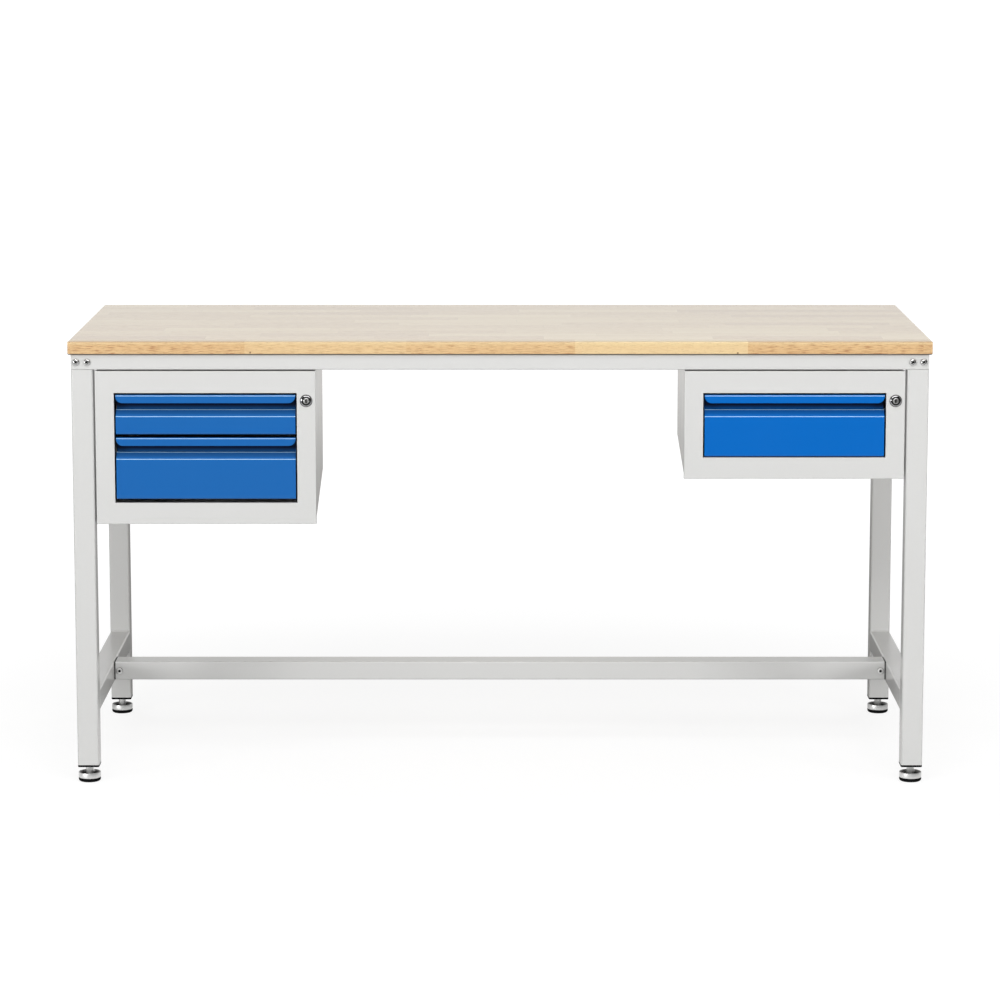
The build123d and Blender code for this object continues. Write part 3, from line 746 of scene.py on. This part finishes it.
def hardware_tree():
    """Tree that puts a pattern at each point, along its facing and turned at random."""
    tree = bpy.data.node_groups.get("small_hardware")
    if tree:
        return tree
    tree = bpy.data.node_groups.new("small_hardware", "GeometryNodeTree")
    tree.is_modifier = True
    for label, kind in (("Places", "Geometry"), ("Pattern", "Object"), ("Finish", "Material"),
                        ("Size", "Float"), ("Seed", "Int")):
        tree.interface.new_socket(label, in_out="INPUT", socket_type="NodeSocket" + kind)
    tree.interface.new_socket("Hardware", in_out="OUTPUT", socket_type="NodeSocketGeometry")
    graph = Graph(tree)
    given = graph.add("NodeGroupInput", output="Places")
    facing = graph.add("GeometryNodeInputNamedAttribute", {"data_type": "FLOAT_VECTOR"},
                       {"Name": "facing"}, "Attribute")
    aligned = graph.add("FunctionNodeAlignRotationToVector", {"axis": "Z"}, {"Vector": facing})
    spin = graph.add("FunctionNodeRandomValue", {"data_type": "FLOAT_VECTOR"}, {
        "Min": (0.0, 0.0, 0.0), "Max": (0.0, 0.0, 2 * math.pi), "Seed": given.other("Seed")}, "Value")
    turned = graph.add("FunctionNodeRotateRotation", {"rotation_space": "LOCAL"}, {0: aligned, 1: spin})
    pattern = graph.add("GeometryNodeObjectInfo", {"transform_space": "ORIGINAL"},
                        {"Object": given.other("Pattern")}, "Geometry")
    copies = graph.add("GeometryNodeInstanceOnPoints", None, {
        "Points": given, "Instance": pattern, "Rotation": turned, "Scale": given.other("Size")})
    real = graph.add("GeometryNodeRealizeInstances", None, {"Geometry": copies})
    painted = graph.add("GeometryNodeSetMaterial", None, {
        "Geometry": real, "Material": given.other("Finish")})
    graph.add("NodeGroupOutput", None, {0: painted})
    return tree


def points_mesh(name, places):
    """Loose points, each with the direction that it faces."""
    mesh = bpy.data.meshes.new(name)
    mesh.from_pydata([place for place, facing in places], [], [])
    attribute = mesh.attributes.new("facing", "FLOAT_VECTOR", "POINT")
    for entry, (place, facing) in zip(attribute.data, places):
        entry.vector = facing
    return mesh


def hardware(name, places, pattern_mesh, material):
    """A plain mesh object with the pattern at every place of (point, facing)."""
    pattern = bpy.data.objects.new(name + "_pattern", pattern_mesh)
    seed = bpy.context.scene.bench_fittings.seed
    holder = new_piece(name, points_mesh(name, places), None)
    grown(holder, hardware_tree(), {"Pattern": pattern, "Finish": material, "Size": 1.0, "Seed": seed})
    bpy.data.objects.remove(pattern)
    return holder


def bead_tree():
    """Tree that lays overlapping drops of weld along the edges of a mesh."""
    tree = bpy.data.node_groups.new("weld_bead", "GeometryNodeTree")
    tree.is_modifier = True
    for label, kind in (("Path", "Geometry"), ("Pitch", "Float"), ("Width", "Float"),
                        ("Finish", "Material")):
        tree.interface.new_socket(label, in_out="INPUT", socket_type="NodeSocket" + kind)
    tree.interface.new_socket("Bead", in_out="OUTPUT", socket_type="NodeSocketGeometry")
    graph = Graph(tree)
    given = graph.add("NodeGroupInput", output="Path")
    curve = graph.add("GeometryNodeMeshToCurve", None, {"Mesh": given})
    steps = graph.add("GeometryNodeResampleCurve", {"mode": "LENGTH"}, {
        "Curve": curve, "Length": given.other("Pitch")})
    along = graph.add("GeometryNodeInputTangent")
    aligned = graph.add("FunctionNodeAlignRotationToVector", {"axis": "Z"}, {"Vector": along})
    drop = graph.add("GeometryNodeMeshUVSphere", None, {
        "Segments": 8, "Rings": 5, "Radius": given.other("Width")})
    copies = graph.add("GeometryNodeInstanceOnPoints", None, {
        "Points": steps, "Instance": drop, "Rotation": aligned})
    real = graph.add("GeometryNodeRealizeInstances", None, {"Geometry": copies})
    smooth = graph.add("GeometryNodeSetShadeSmooth", None, {"Geometry": real, "Shade Smooth": True})
    painted = graph.add("GeometryNodeSetMaterial", None, {
        "Geometry": smooth, "Material": given.other("Finish")})
    graph.add("NodeGroupOutput", None, {0: painted})
    return tree


def beads(name, paths, settings, material):
    """A plain mesh object with a bead of weld along each path."""
    mesh = bpy.data.meshes.new(name)
    points = [point for path in paths for point in path]
    mesh.from_pydata(points, [(2 * index, 2 * index + 1) for index in range(len(paths))], [])
    return grown(new_piece(name, mesh, None), bead_tree(), {
        "Pitch": settings.bead_pitch, "Width": settings.bead_width, "Finish": material})


def grown(holder, tree, values):
    """Run a tree on an object and leave it with the plain mesh that comes out."""
    modifier = holder.modifiers.new(tree.name, "NODES")
    modifier.node_group = tree
    for item in tree.interface.items_tree:
        if item.in_out == "INPUT" and item.name in values:
            modifier[item.identifier] = values[item.name]
    seen = holder.evaluated_get(bpy.context.evaluated_depsgraph_get())
    mesh = bpy.data.meshes.new_from_object(seen)
    holder.modifiers.remove(modifier)
    holder.data = mesh
    return holder


# Small hardware and turned pieces

def button_head(box):
    """Button-head bolt, its outermost point at the origin and its shank along -Z."""
    low, high = box
    head = (high.x - low.x) / 2
    length = high.y - low.y
    tall = 4.4 * MM
    crown = 3.9 * MM
    straight = 0.9 * MM
    shank = 4.0 * MM
    chamfer = 0.8 * MM
    socket = 5.0 * MM
    lip = 0.35 * MM
    steepest = math.radians(78)
    steps = 6
    # Painted shade round the head's rim, fading up its dome, and inside the hexagon socket
    rim_shade = 0.8
    rings = [
        (circle(shank - chamfer), -length), (circle(shank), chamfer - length), (circle(shank), -tall),
        (circle(head - 0.3 * MM), -tall, rim_shade), (circle(head), 0.3 * MM - tall, rim_shade),
        (circle(head), straight - tall, rim_shade),
    ]
    for step in range(1, steps + 1):
        lean = steepest * step / steps
        radius = crown + (head - crown) * math.cos(lean)
        height = straight - tall + (tall - straight) * math.sin(lean) / math.sin(steepest)
        rings.append((circle(radius), height, max(0.0, rim_shade - 0.2 * step)))
    rings += [
        (circle(socket / 2 / math.cos(math.pi / 6) + lip), 0.0),
        (hexagon(socket), -lip, 1.0), (hexagon(socket), -2.6 * MM, 1.0),
        (circle(0.4 * MM), -3.2 * MM, 1.0),
    ]
    return turned_mesh("button_head", rings, 36)


def pan_head(box):
    """Pan-head wood screw with a cross recess, its outermost point at the origin."""
    low, high = box
    head = (high.x - low.x) / 2
    length = high.z - low.z
    tall = 2.6 * MM
    straight = 1.0 * MM
    shank = 2.1 * MM
    point = 5.0 * MM
    rings = [(circle(0.2 * MM), -length), (circle(shank), point - length), (circle(shank), -tall),
             (circle(head), -tall), (circle(head), straight - tall)]
    for lean in (30, 55, 75):
        angle = math.radians(lean)
        radius = head * (0.45 + 0.55 * math.cos(angle))
        rings.append((circle(radius), straight - tall + (tall - straight) * math.sin(angle)))
    # Painted shade inside the cross recess
    rings += [(circle(head * 0.58), 0.0), (cross(4.6 * MM, 1.3 * MM), -0.1 * MM),
              (cross(3.0 * MM, 1.0 * MM), -1.6 * MM, 1.0), (circle(0.2 * MM), -2.0 * MM, 1.0)]
    return turned_mesh("pan_head", rings, 32)


def rivet_head(settings):
    """Domed head of a rivet, its seat at the origin."""
    radius = settings.rivet_radius
    rings = [(circle(radius), -0.3 * MM), (circle(radius), 0.2 * MM), (circle(radius * 0.9), 0.8 * MM),
             (circle(radius * 0.6), 1.25 * MM), (circle(radius * 0.12), 1.45 * MM)]
    return turned_mesh("rivet_head", rings, 14)


def weld_mark(settings):
    """The shallow ring that a spot weld leaves under the paint."""
    radius = settings.weld_radius
    rings = [(circle(radius), -0.1 * MM), (circle(radius), 0.02 * MM), (circle(radius * 0.8), 0.16 * MM),
             (circle(radius * 0.55), 0.05 * MM), (circle(radius * 0.1), 0.03 * MM)]
    return turned_mesh("weld_mark", rings, 14)


def barrel_rings(length):
    """Lock barrel about Z: domed face at the top with its key slot, tail at the bottom."""
    radius = 7.5 * MM
    tail = 3.9 * MM
    tail_end = 5.0 * MM - length
    shoulder = -1.3 * MM
    groove = 0.8 * MM
    dome = 2.0 * MM
    steps = 8
    # Painted shade in the groove under the dome and inside the key slot
    rings = [(circle(tail), -length), (circle(tail), tail_end),
             (circle(radius), tail_end), (circle(radius), shoulder - groove, 1.0),
             (circle(radius - 0.7 * MM), shoulder - groove, 1.0),
             (circle(radius - groove), shoulder, 0.6)]
    for step in range(1, steps):
        share = step / steps
        height = shoulder + dome * (1 - (1 - share) ** 2)
        rings.append((circle((radius - groove) * (1 - share * 0.30)), height))
    top = shoulder + dome
    slot = bar(2.6 * MM, 8.4 * MM)
    return rings + [(bar(3.4 * MM, 8.8 * MM), top, 0.5), (slot, top - 0.4 * MM, 1.0),
                    (slot, top - 8.0 * MM, 1.0)]


def gasket_rings():
    """Flat rubber ring behind a lock's bezel, about Z, its seat at the origin."""
    inner = 10.5 * MM
    outer = 13.0 * MM
    thick = 0.9 * MM
    return [(circle(inner), 0.0), (circle(outer), 0.0), (circle(outer), thick * 0.5),
            (circle(outer - 0.5 * MM), thick), (circle(inner), thick)]


def foot_rings(box):
    """Rings of a levelling foot's cup and hexagon, and the height at which its stud begins."""
    low, high = box
    cup = (high.x - low.x) / 2
    rim = low.z + 13.0 * MM
    well = rim - 6.0 * MM
    nut = 14.0 * MM
    corner = nut / 2 / math.cos(math.pi / 6)
    sharp, worn = worn_hexagon(nut, corner), worn_hexagon(nut, corner * 0.93)
    top = rim + 10.5 * MM
    # Millimetres in from the cup's side and above its underside
    outside = ((3.0, 0.0), (1.0, 0.6), (0.2, 2.0), (0.0, 4.0))
    # Millimetres in from the cup's side and above its rim, and how much painted shade the place carries
    inside = ((0.0, -1.6, 0.0), (0.3, -0.6, 0.3), (0.9, -0.1, 0.5), (1.5, 0.0, 0.5), (2.2, -0.3, 0.4),
              (2.6, -1.0, 0.3), (3.0, -5.2, 0.5), (4.4, -6.0, 0.9))
    rings = [(circle(cup - inset * MM), low.z + rise * MM) for inset, rise in outside]
    rings += [(circle(cup - inset * MM), rim + rise * MM, shade) for inset, rise, shade in inside]
    # Painted shade where the hexagon stands in the cup
    rings += [(worn, well, 0.9), (sharp, well + 1.0 * MM, 0.5), (sharp, top - 1.0 * MM), (worn, top)]
    return rings, top


def thread_rings(low, high, radius, settings):
    """Rings of the foot's stud, close enough together to show its thread."""
    pitch = settings.thread_pitch
    count = int((high - low) / pitch * 6)
    rings = []
    for step in range(count + 1):
        height = low + (high - low) * step / count
        fade = min(1.0, step / 6, (count - step) / 10)
        rings.append((thread(radius, settings.thread_depth * fade, pitch, height), height))
    rings.append((circle(radius - 1.2 * MM), high))
    return rings


def place_mesh(mesh, turn, offset):
    """Write a direction and a place into a mesh."""
    mesh.transform(Matrix.Translation(offset) @ turn)


# One operator for each piece or group of like pieces

class BENCH_OT_dress_frame(bpy.types.Operator):
    """Paint the welded frame, its rails and the foot rail"""
    bl_idname = "bench.dress_frame"
    bl_label = "Dress frame"

    def execute(self, context):
        tubes = [corner + "_leg" for corner in CORNERS]
        tubes += [side + part for side in SIDES for part in ("_top_bar", "_side_rail")]
        tubes += ["front_rail", "rear_rail", "foot_rail"]
        paint_nodes(tubes, grey_powder_coat())
        paint_nodes(["bar_end_plates"], galvanised_sheet())
        paint_nodes(["leg_plugs", "foot_rail_spigots"], black_moulding("plastic"))
        return {"FINISHED"}


class BENCH_OT_dress_worktop(bpy.types.Operator):
    """Lay the laminated beech top"""
    bl_idname = "bench.dress_worktop"
    bl_label = "Dress worktop"

    def execute(self, context):
        paint_nodes(["worktop"], lacquered_beech())
        return {"FINISHED"}


class BENCH_OT_dress_cabinets(bpy.types.Operator):
    """Paint the two cabinets and finish their fittings"""
    bl_idname = "bench.dress_cabinets"
    bl_label = "Dress cabinets"

    def execute(self, context):
        panels = [side + part for side in SIDES
                  for part in ("_fascia", "_side_panels", "_back_panel", "_floor_panel")]
        paint_nodes(panels + ["runner_brackets"], grey_powder_coat())
        paint_nodes(["outer_runners", "lock_bar_guides"], galvanised_sheet())
        paint_nodes([side + "_lock_bar" for side in SIDES], galvanised_sheet())
        return {"FINISHED"}


class BENCH_OT_dress_drawers(bpy.types.Operator):
    """Paint the drawer fronts and trays and finish their runners"""
    bl_idname = "bench.dress_drawers"
    bl_label = "Dress drawers"

    def execute(self, context):
        for name in DRAWERS:
            paint_nodes([name + "_drawer_front"], blue_powder_coat(name))
        paint_nodes([name + "_drawer_tray" for name in DRAWERS], grey_powder_coat())
        for part in ("_middle_runners", "_inner_runners"):
            paint_nodes([name + part for name in DRAWERS], galvanised_sheet())
        return {"FINISHED"}


class BENCH_OT_dress_locks(bpy.types.Operator):
    """Plate the locks"""
    bl_idname = "bench.dress_locks"
    bl_label = "Dress locks"

    def execute(self, context):
        paint_nodes([side + "_lock_body" for side in SIDES], plated_steel("smoked"))
        paint_nodes([side + "_lock_cam" for side in SIDES], plated_steel("zinc"))
        return {"FINISHED"}


class BENCH_OT_fit_barrels(bpy.types.Operator):
    """Turn the domed lock barrels with their key slots"""
    bl_idname = "bench.fit_barrels"
    bl_label = "Fit lock barrels"

    def execute(self, context):
        for side in SIDES:
            node = side + "_lock_barrel"
            low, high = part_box(node)
            middle = (low + high) / 2
            mesh = turned_mesh(node + "_domed", barrel_rings(high.y - low.y), 40)
            place_mesh(mesh, TOWARD_FRONT, Vector((middle.x, low.y, middle.z)))
            piece = new_piece(node + "_domed", mesh, plated_steel("bright"))
            fit(piece, side + "_lock", "chrome", node)
        return {"FINISHED"}


class BENCH_OT_fit_gaskets(bpy.types.Operator):
    """Lay the rubber rings behind the lock bezels"""
    bl_idname = "bench.fit_gaskets"
    bl_label = "Fit lock rings"

    def execute(self, context):
        for side in SIDES:
            name = side + "_lock_gasket"
            low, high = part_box(side + "_lock_barrel")
            middle = (low + high) / 2
            mesh = ring_mesh(name, gasket_rings(), 48)
            place_mesh(mesh, TOWARD_FRONT, Vector((middle.x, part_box(side + "_fascia")[0].y, middle.z)))
            fit(new_piece(name, mesh, black_moulding("rubber")), "bench", "rubber")
        return {"FINISHED"}


class BENCH_OT_rivet_trays(bpy.types.Operator):
    """Rivet the inner runners to the drawer trays"""
    bl_idname = "bench.rivet_trays"
    bl_label = "Rivet trays"

    def execute(self, context):
        settings = context.scene.bench_fittings
        for name in DRAWERS:
            tray_low, tray_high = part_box(name + "_drawer_tray")
            low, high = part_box(name + "_inner_runners")
            height = (low.z + high.z) / 2
            places = []
            for share in (0.12, 0.5, 0.88):
                depth = low.y + (high.y - low.y) * share
                places.append(((tray_low.x + 1.0 * MM, depth, height), (1.0, 0.0, 0.0)))
                places.append(((tray_high.x - 1.0 * MM, depth, height), (-1.0, 0.0, 0.0)))
            piece = hardware(name + "_tray_rivets", places, rivet_head(settings), plated_steel("zinc"))
            fit(piece, name + "_drawer", "bright_steel")
        return {"FINISHED"}


class BENCH_OT_mark_welds(bpy.types.Operator):
    """Mark the spot welds down the sides of the cabinets"""
    bl_idname = "bench.mark_welds"
    bl_label = "Mark spot welds"

    def execute(self, context):
        places = []
        for side in SIDES:
            low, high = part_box(side + "_side_panels")
            rear_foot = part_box(side + "_back_panel")[0].z
            for depth, foot in ((low.y + 22 * MM, low.z), (high.y - 8 * MM, rear_foot)):
                for share in (0.12, 0.37, 0.63, 0.88):
                    height = foot + (high.z - foot) * share
                    places.append(((low.x, depth, height), (-1.0, 0.0, 0.0)))
                    places.append(((high.x, depth, height), (1.0, 0.0, 0.0)))
        pattern = weld_mark(context.scene.bench_fittings)
        piece = hardware("cabinet_spot_welds", places, pattern, grey_powder_coat())
        fit(piece, "bench", "grey_paint")
        return {"FINISHED"}


class BENCH_OT_lay_beads(bpy.types.Operator):
    """Lay the weld beads over and under the ends of the side rails"""
    bl_idname = "bench.lay_beads"
    bl_label = "Lay weld beads"

    def execute(self, context):
        paths = []
        for side in SIDES:
            low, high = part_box(side + "_side_rail")
            for depth in (low.y, high.y):
                for height in (low.z, high.z):
                    paths.append([(low.x + 5 * MM, depth, height), (high.x - 5 * MM, depth, height)])
        piece = beads("side_rail_beads", paths, context.scene.bench_fittings, grey_powder_coat())
        fit(piece, "bench", "grey_paint")
        return {"FINISHED"}


class BENCH_OT_fit_bolts(bpy.types.Operator):
    """Fit the button-head bolts of the rails and the foot rail"""
    bl_idname = "bench.fit_bolts"
    bl_label = "Fit bolts"

    def execute(self, context):
        for node, plating in (("rail_bolts", "zinc"), ("foot_rail_bolts", "satin")):
            boxes = solids_of(node)
            places = []
            for low, high in boxes:
                rear = node == "rail_bolts" and low.y > 0
                middle = (low + high) / 2
                outer = high.y if rear else low.y
                places.append(((middle.x, outer, middle.z), (0.0, 1.0 if rear else -1.0, 0.0)))
            pattern = button_head(boxes[0])
            piece = hardware(node + "_turned", places, pattern, plated_steel(plating))
            fit(piece, "bench", "bright_steel", node)
        return {"FINISHED"}


class BENCH_OT_fit_screws(bpy.types.Operator):
    """Drive the screws that hold the worktop and hang the cabinets"""
    bl_idname = "bench.fit_screws"
    bl_label = "Fit screws"

    def execute(self, context):
        for node in ("worktop_screws", "hanging_screws"):
            boxes = solids_of(node)
            places = []
            for low, high in boxes:
                middle = (low + high) / 2
                places.append(((middle.x, middle.y, low.z), (0.0, 0.0, -1.0)))
            pattern = pan_head(boxes[0])
            piece = hardware(node + "_driven", places, pattern, plated_steel("zinc"))
            fit(piece, "bench", "bright_steel", node)
        return {"FINISHED"}


class BENCH_OT_fit_feet(bpy.types.Operator):
    """Turn the levelling feet with their threaded studs"""
    bl_idname = "bench.fit_feet"
    bl_label = "Fit feet"

    def execute(self, context):
        settings = context.scene.bench_fittings
        for corner in CORNERS:
            node = corner + "_foot"
            low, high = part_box(node)
            rings, top = foot_rings((low, high))
            rings += thread_rings(top, high.z, 5.0 * MM, settings)
            middle = (low + high) / 2
            mesh = turned_mesh(node + "_turned", rings, settings.segments)
            place_mesh(mesh, Matrix.Identity(4), Vector((middle.x, middle.y, 0.0)))
            piece = new_piece(node + "_turned", mesh, plated_steel("satin"))
            fit(piece, node, "bright_steel", node)
            paint_nodes([node + "_rubber"], black_moulding("rubber"))
        return {"FINISHED"}


# The studio

def studio_world(stage):
    """White to the eye, even light for the object, and a dim room behind the camera for metal."""
    world = bpy.data.worlds.new("studio")
    world.use_nodes = True
    world.node_tree.nodes.clear()
    graph = Graph(world.node_tree)
    path = graph.add("ShaderNodeLightPath", output="Is Camera Ray")
    toward = graph.split(graph.add("ShaderNodeTexCoord", output="Generated"))[1]
    room = graph.ramp(toward * 0.5 + 0.5, ((0.55, stage.dim_side), (0.68, stage.bright_side)))
    level = path + path.other("Is Transmission Ray") + path.other("Is Glossy Ray") * room
    level += path.other("Is Diffuse Ray") * stage.surround
    light = graph.add("ShaderNodeBackground", None, {"Color": (1.0, 1.0, 1.0, 1.0), "Strength": level})
    graph.add("ShaderNodeOutputWorld", None, {"Surface": light})
    bpy.context.scene.world = world


def floor_finish(stage):
    """Floor paint that is white to the eye but for a soft shadow near the bench."""
    pale = 0.86
    white_level = 1.11
    shadow_reach = 10.0
    material, graph = new_material("pale_floor")
    path = graph.add("ShaderNodeLightPath", output="Is Camera Ray")
    shiny = path.other("Is Glossy Ray")
    place = graph.object_place()
    away = graph.vector("LENGTH", place).other("Value")
    behind = graph.split(place)[1]
    grey = stage.floor_grey + path * (pale - stage.floor_grey)
    paint = graph.add("ShaderNodeBsdfDiffuse", None, {"Color": graph.joined(grey, grey, grey)})
    to_eye = graph.ramp(away / shadow_reach, ((0.08, 0.74), (0.30, 1.0)))
    to_gloss = graph.ramp((behind - FLOOR_START) / FLOOR_SPAN, FLOOR_SHINE)
    level = path * white_level + shiny * to_gloss
    glow = graph.add("ShaderNodeEmission", None, {"Color": (1.0, 1.0, 1.0, 1.0), "Strength": level})
    both = graph.add("ShaderNodeMixShader", None, {0: path * to_eye + shiny, 1: paint, 2: glow})
    graph.add("ShaderNodeOutputMaterial", None, {"Surface": both})
    return material


def studio_floor(stage):
    """A plain floor that reaches far past the picture."""
    reach = 90.0
    mesh = bpy.data.meshes.new("floor")
    corners = [(x * reach, y * reach, 0.0) for x, y in ((-1, -1), (1, -1), (1, 1), (-1, 1))]
    mesh.from_pydata(corners, [], [(0, 1, 2, 3)])
    new_piece("floor", mesh, floor_finish(stage))


def soft_light(name, place, size, power, mirrored=True):
    """A rectangular light that aims at the bench; gloss shows it only where it is mirrored."""
    lamp = bpy.data.lights.new(name, "AREA")
    lamp.shape = "RECTANGLE"
    lamp.size, lamp.size_y = size
    lamp.energy = power
    light = bpy.data.objects.new(name, lamp)
    light.location = place
    light.visible_glossy = mirrored
    light.rotation_euler = (Vector(LAMP_AIM) - Vector(place)).to_track_quat("-Z", "Y").to_euler()
    bpy.context.scene.collection.objects.link(light)


def studio_camera(stage):
    """The camera, at the height and tilt that were fitted to the photograph."""
    camera = bpy.data.objects.new("camera", bpy.data.cameras.new("camera"))
    camera.data.lens = stage.focal_length
    camera.data.sensor_width = 36.0
    camera.data.clip_end = 300.0
    camera.location = (0.0, -stage.distance, stage.height)
    camera.rotation_euler = (math.pi / 2 - stage.pitch, 0.0, 0.0)
    bpy.context.scene.collection.objects.link(camera)
    bpy.context.scene.camera = camera


class BENCH_OT_set_stage(bpy.types.Operator):
    """Set up the floor, the soft lights and the camera"""
    bl_idname = "bench.set_stage"
    bl_label = "Set stage"

    def execute(self, context):
        stage = context.scene.bench_stage
        studio_world(stage)
        studio_floor(stage)
        soft_light("key", (0.0, -4.8, 3.4), (5.0, 1.6), stage.key_power)
        soft_light("strip", (0.0, -2.2, 3.4), (4.0, 0.5), stage.strip_power)
        for name, side in (("left", -1), ("right", 1)):
            beside = side * 4.2
            soft_light(name + "_fill", (beside, -4.0, 0.9), FILL_SIZE, stage.side_power, side < 0)
            soft_light(name + "_rear_fill", (beside, 4.0, 0.9), FILL_SIZE, stage.rear_power, False)
        studio_camera(stage)
        context.scene.view_settings.view_transform = "Standard"
        return {"FINISHED"}


OPERATORS = (
    BENCH_OT_dress_frame, BENCH_OT_dress_worktop, BENCH_OT_dress_cabinets, BENCH_OT_dress_drawers,
    BENCH_OT_dress_locks, BENCH_OT_fit_barrels, BENCH_OT_fit_gaskets, BENCH_OT_fit_bolts,
    BENCH_OT_fit_screws, BENCH_OT_fit_feet, BENCH_OT_rivet_trays, BENCH_OT_mark_welds,
    BENCH_OT_lay_beads, BENCH_OT_set_stage)
SETTINGS = {"bench_paint": PaintSettings, "bench_wood": WoodSettings, "bench_metal": MetalSettings,
            "bench_fittings": FittingSettings, "bench_stage": StageSettings}


class BENCH_PT_finish(bpy.types.Panel):
    """Lists the settings and the operators"""
    bl_idname = "BENCH_PT_finish"
    bl_label = "Workbench finish"
    bl_space_type = "VIEW_3D"
    bl_region_type = "UI"
    bl_category = "Workbench"

    def draw(self, context):
        for operator in OPERATORS:
            self.layout.operator(operator.bl_idname)
        for name in SETTINGS:
            settings = getattr(context.scene, name)
            column = self.layout.column()
            for key in settings.__annotations__:
                column.prop(settings, key)


def register():
    for kind in (*SETTINGS.values(), *OPERATORS, BENCH_PT_finish):
        bpy.utils.register_class(kind)
    for name, kind in SETTINGS.items():
        setattr(bpy.types.Scene, name, PointerProperty(type=kind))


def unregister():
    for name in SETTINGS:
        delattr(bpy.types.Scene, name)
    for kind in reversed((*SETTINGS.values(), *OPERATORS, BENCH_PT_finish)):
        bpy.utils.unregister_class(kind)


def main():
    register()
    bpy.ops.bench.dress_frame()
    bpy.ops.bench.dress_worktop()
    bpy.ops.bench.dress_cabinets()
    bpy.ops.bench.dress_drawers()
    bpy.ops.bench.dress_locks()
    bpy.ops.bench.fit_barrels()
    bpy.ops.bench.fit_gaskets()
    bpy.ops.bench.fit_bolts()
    bpy.ops.bench.fit_screws()
    bpy.ops.bench.fit_feet()
    bpy.ops.bench.rivet_trays()
    bpy.ops.bench.mark_welds()
    bpy.ops.bench.lay_beads()
    bpy.ops.bench.set_stage()


if __name__ == "__main__":
    main()
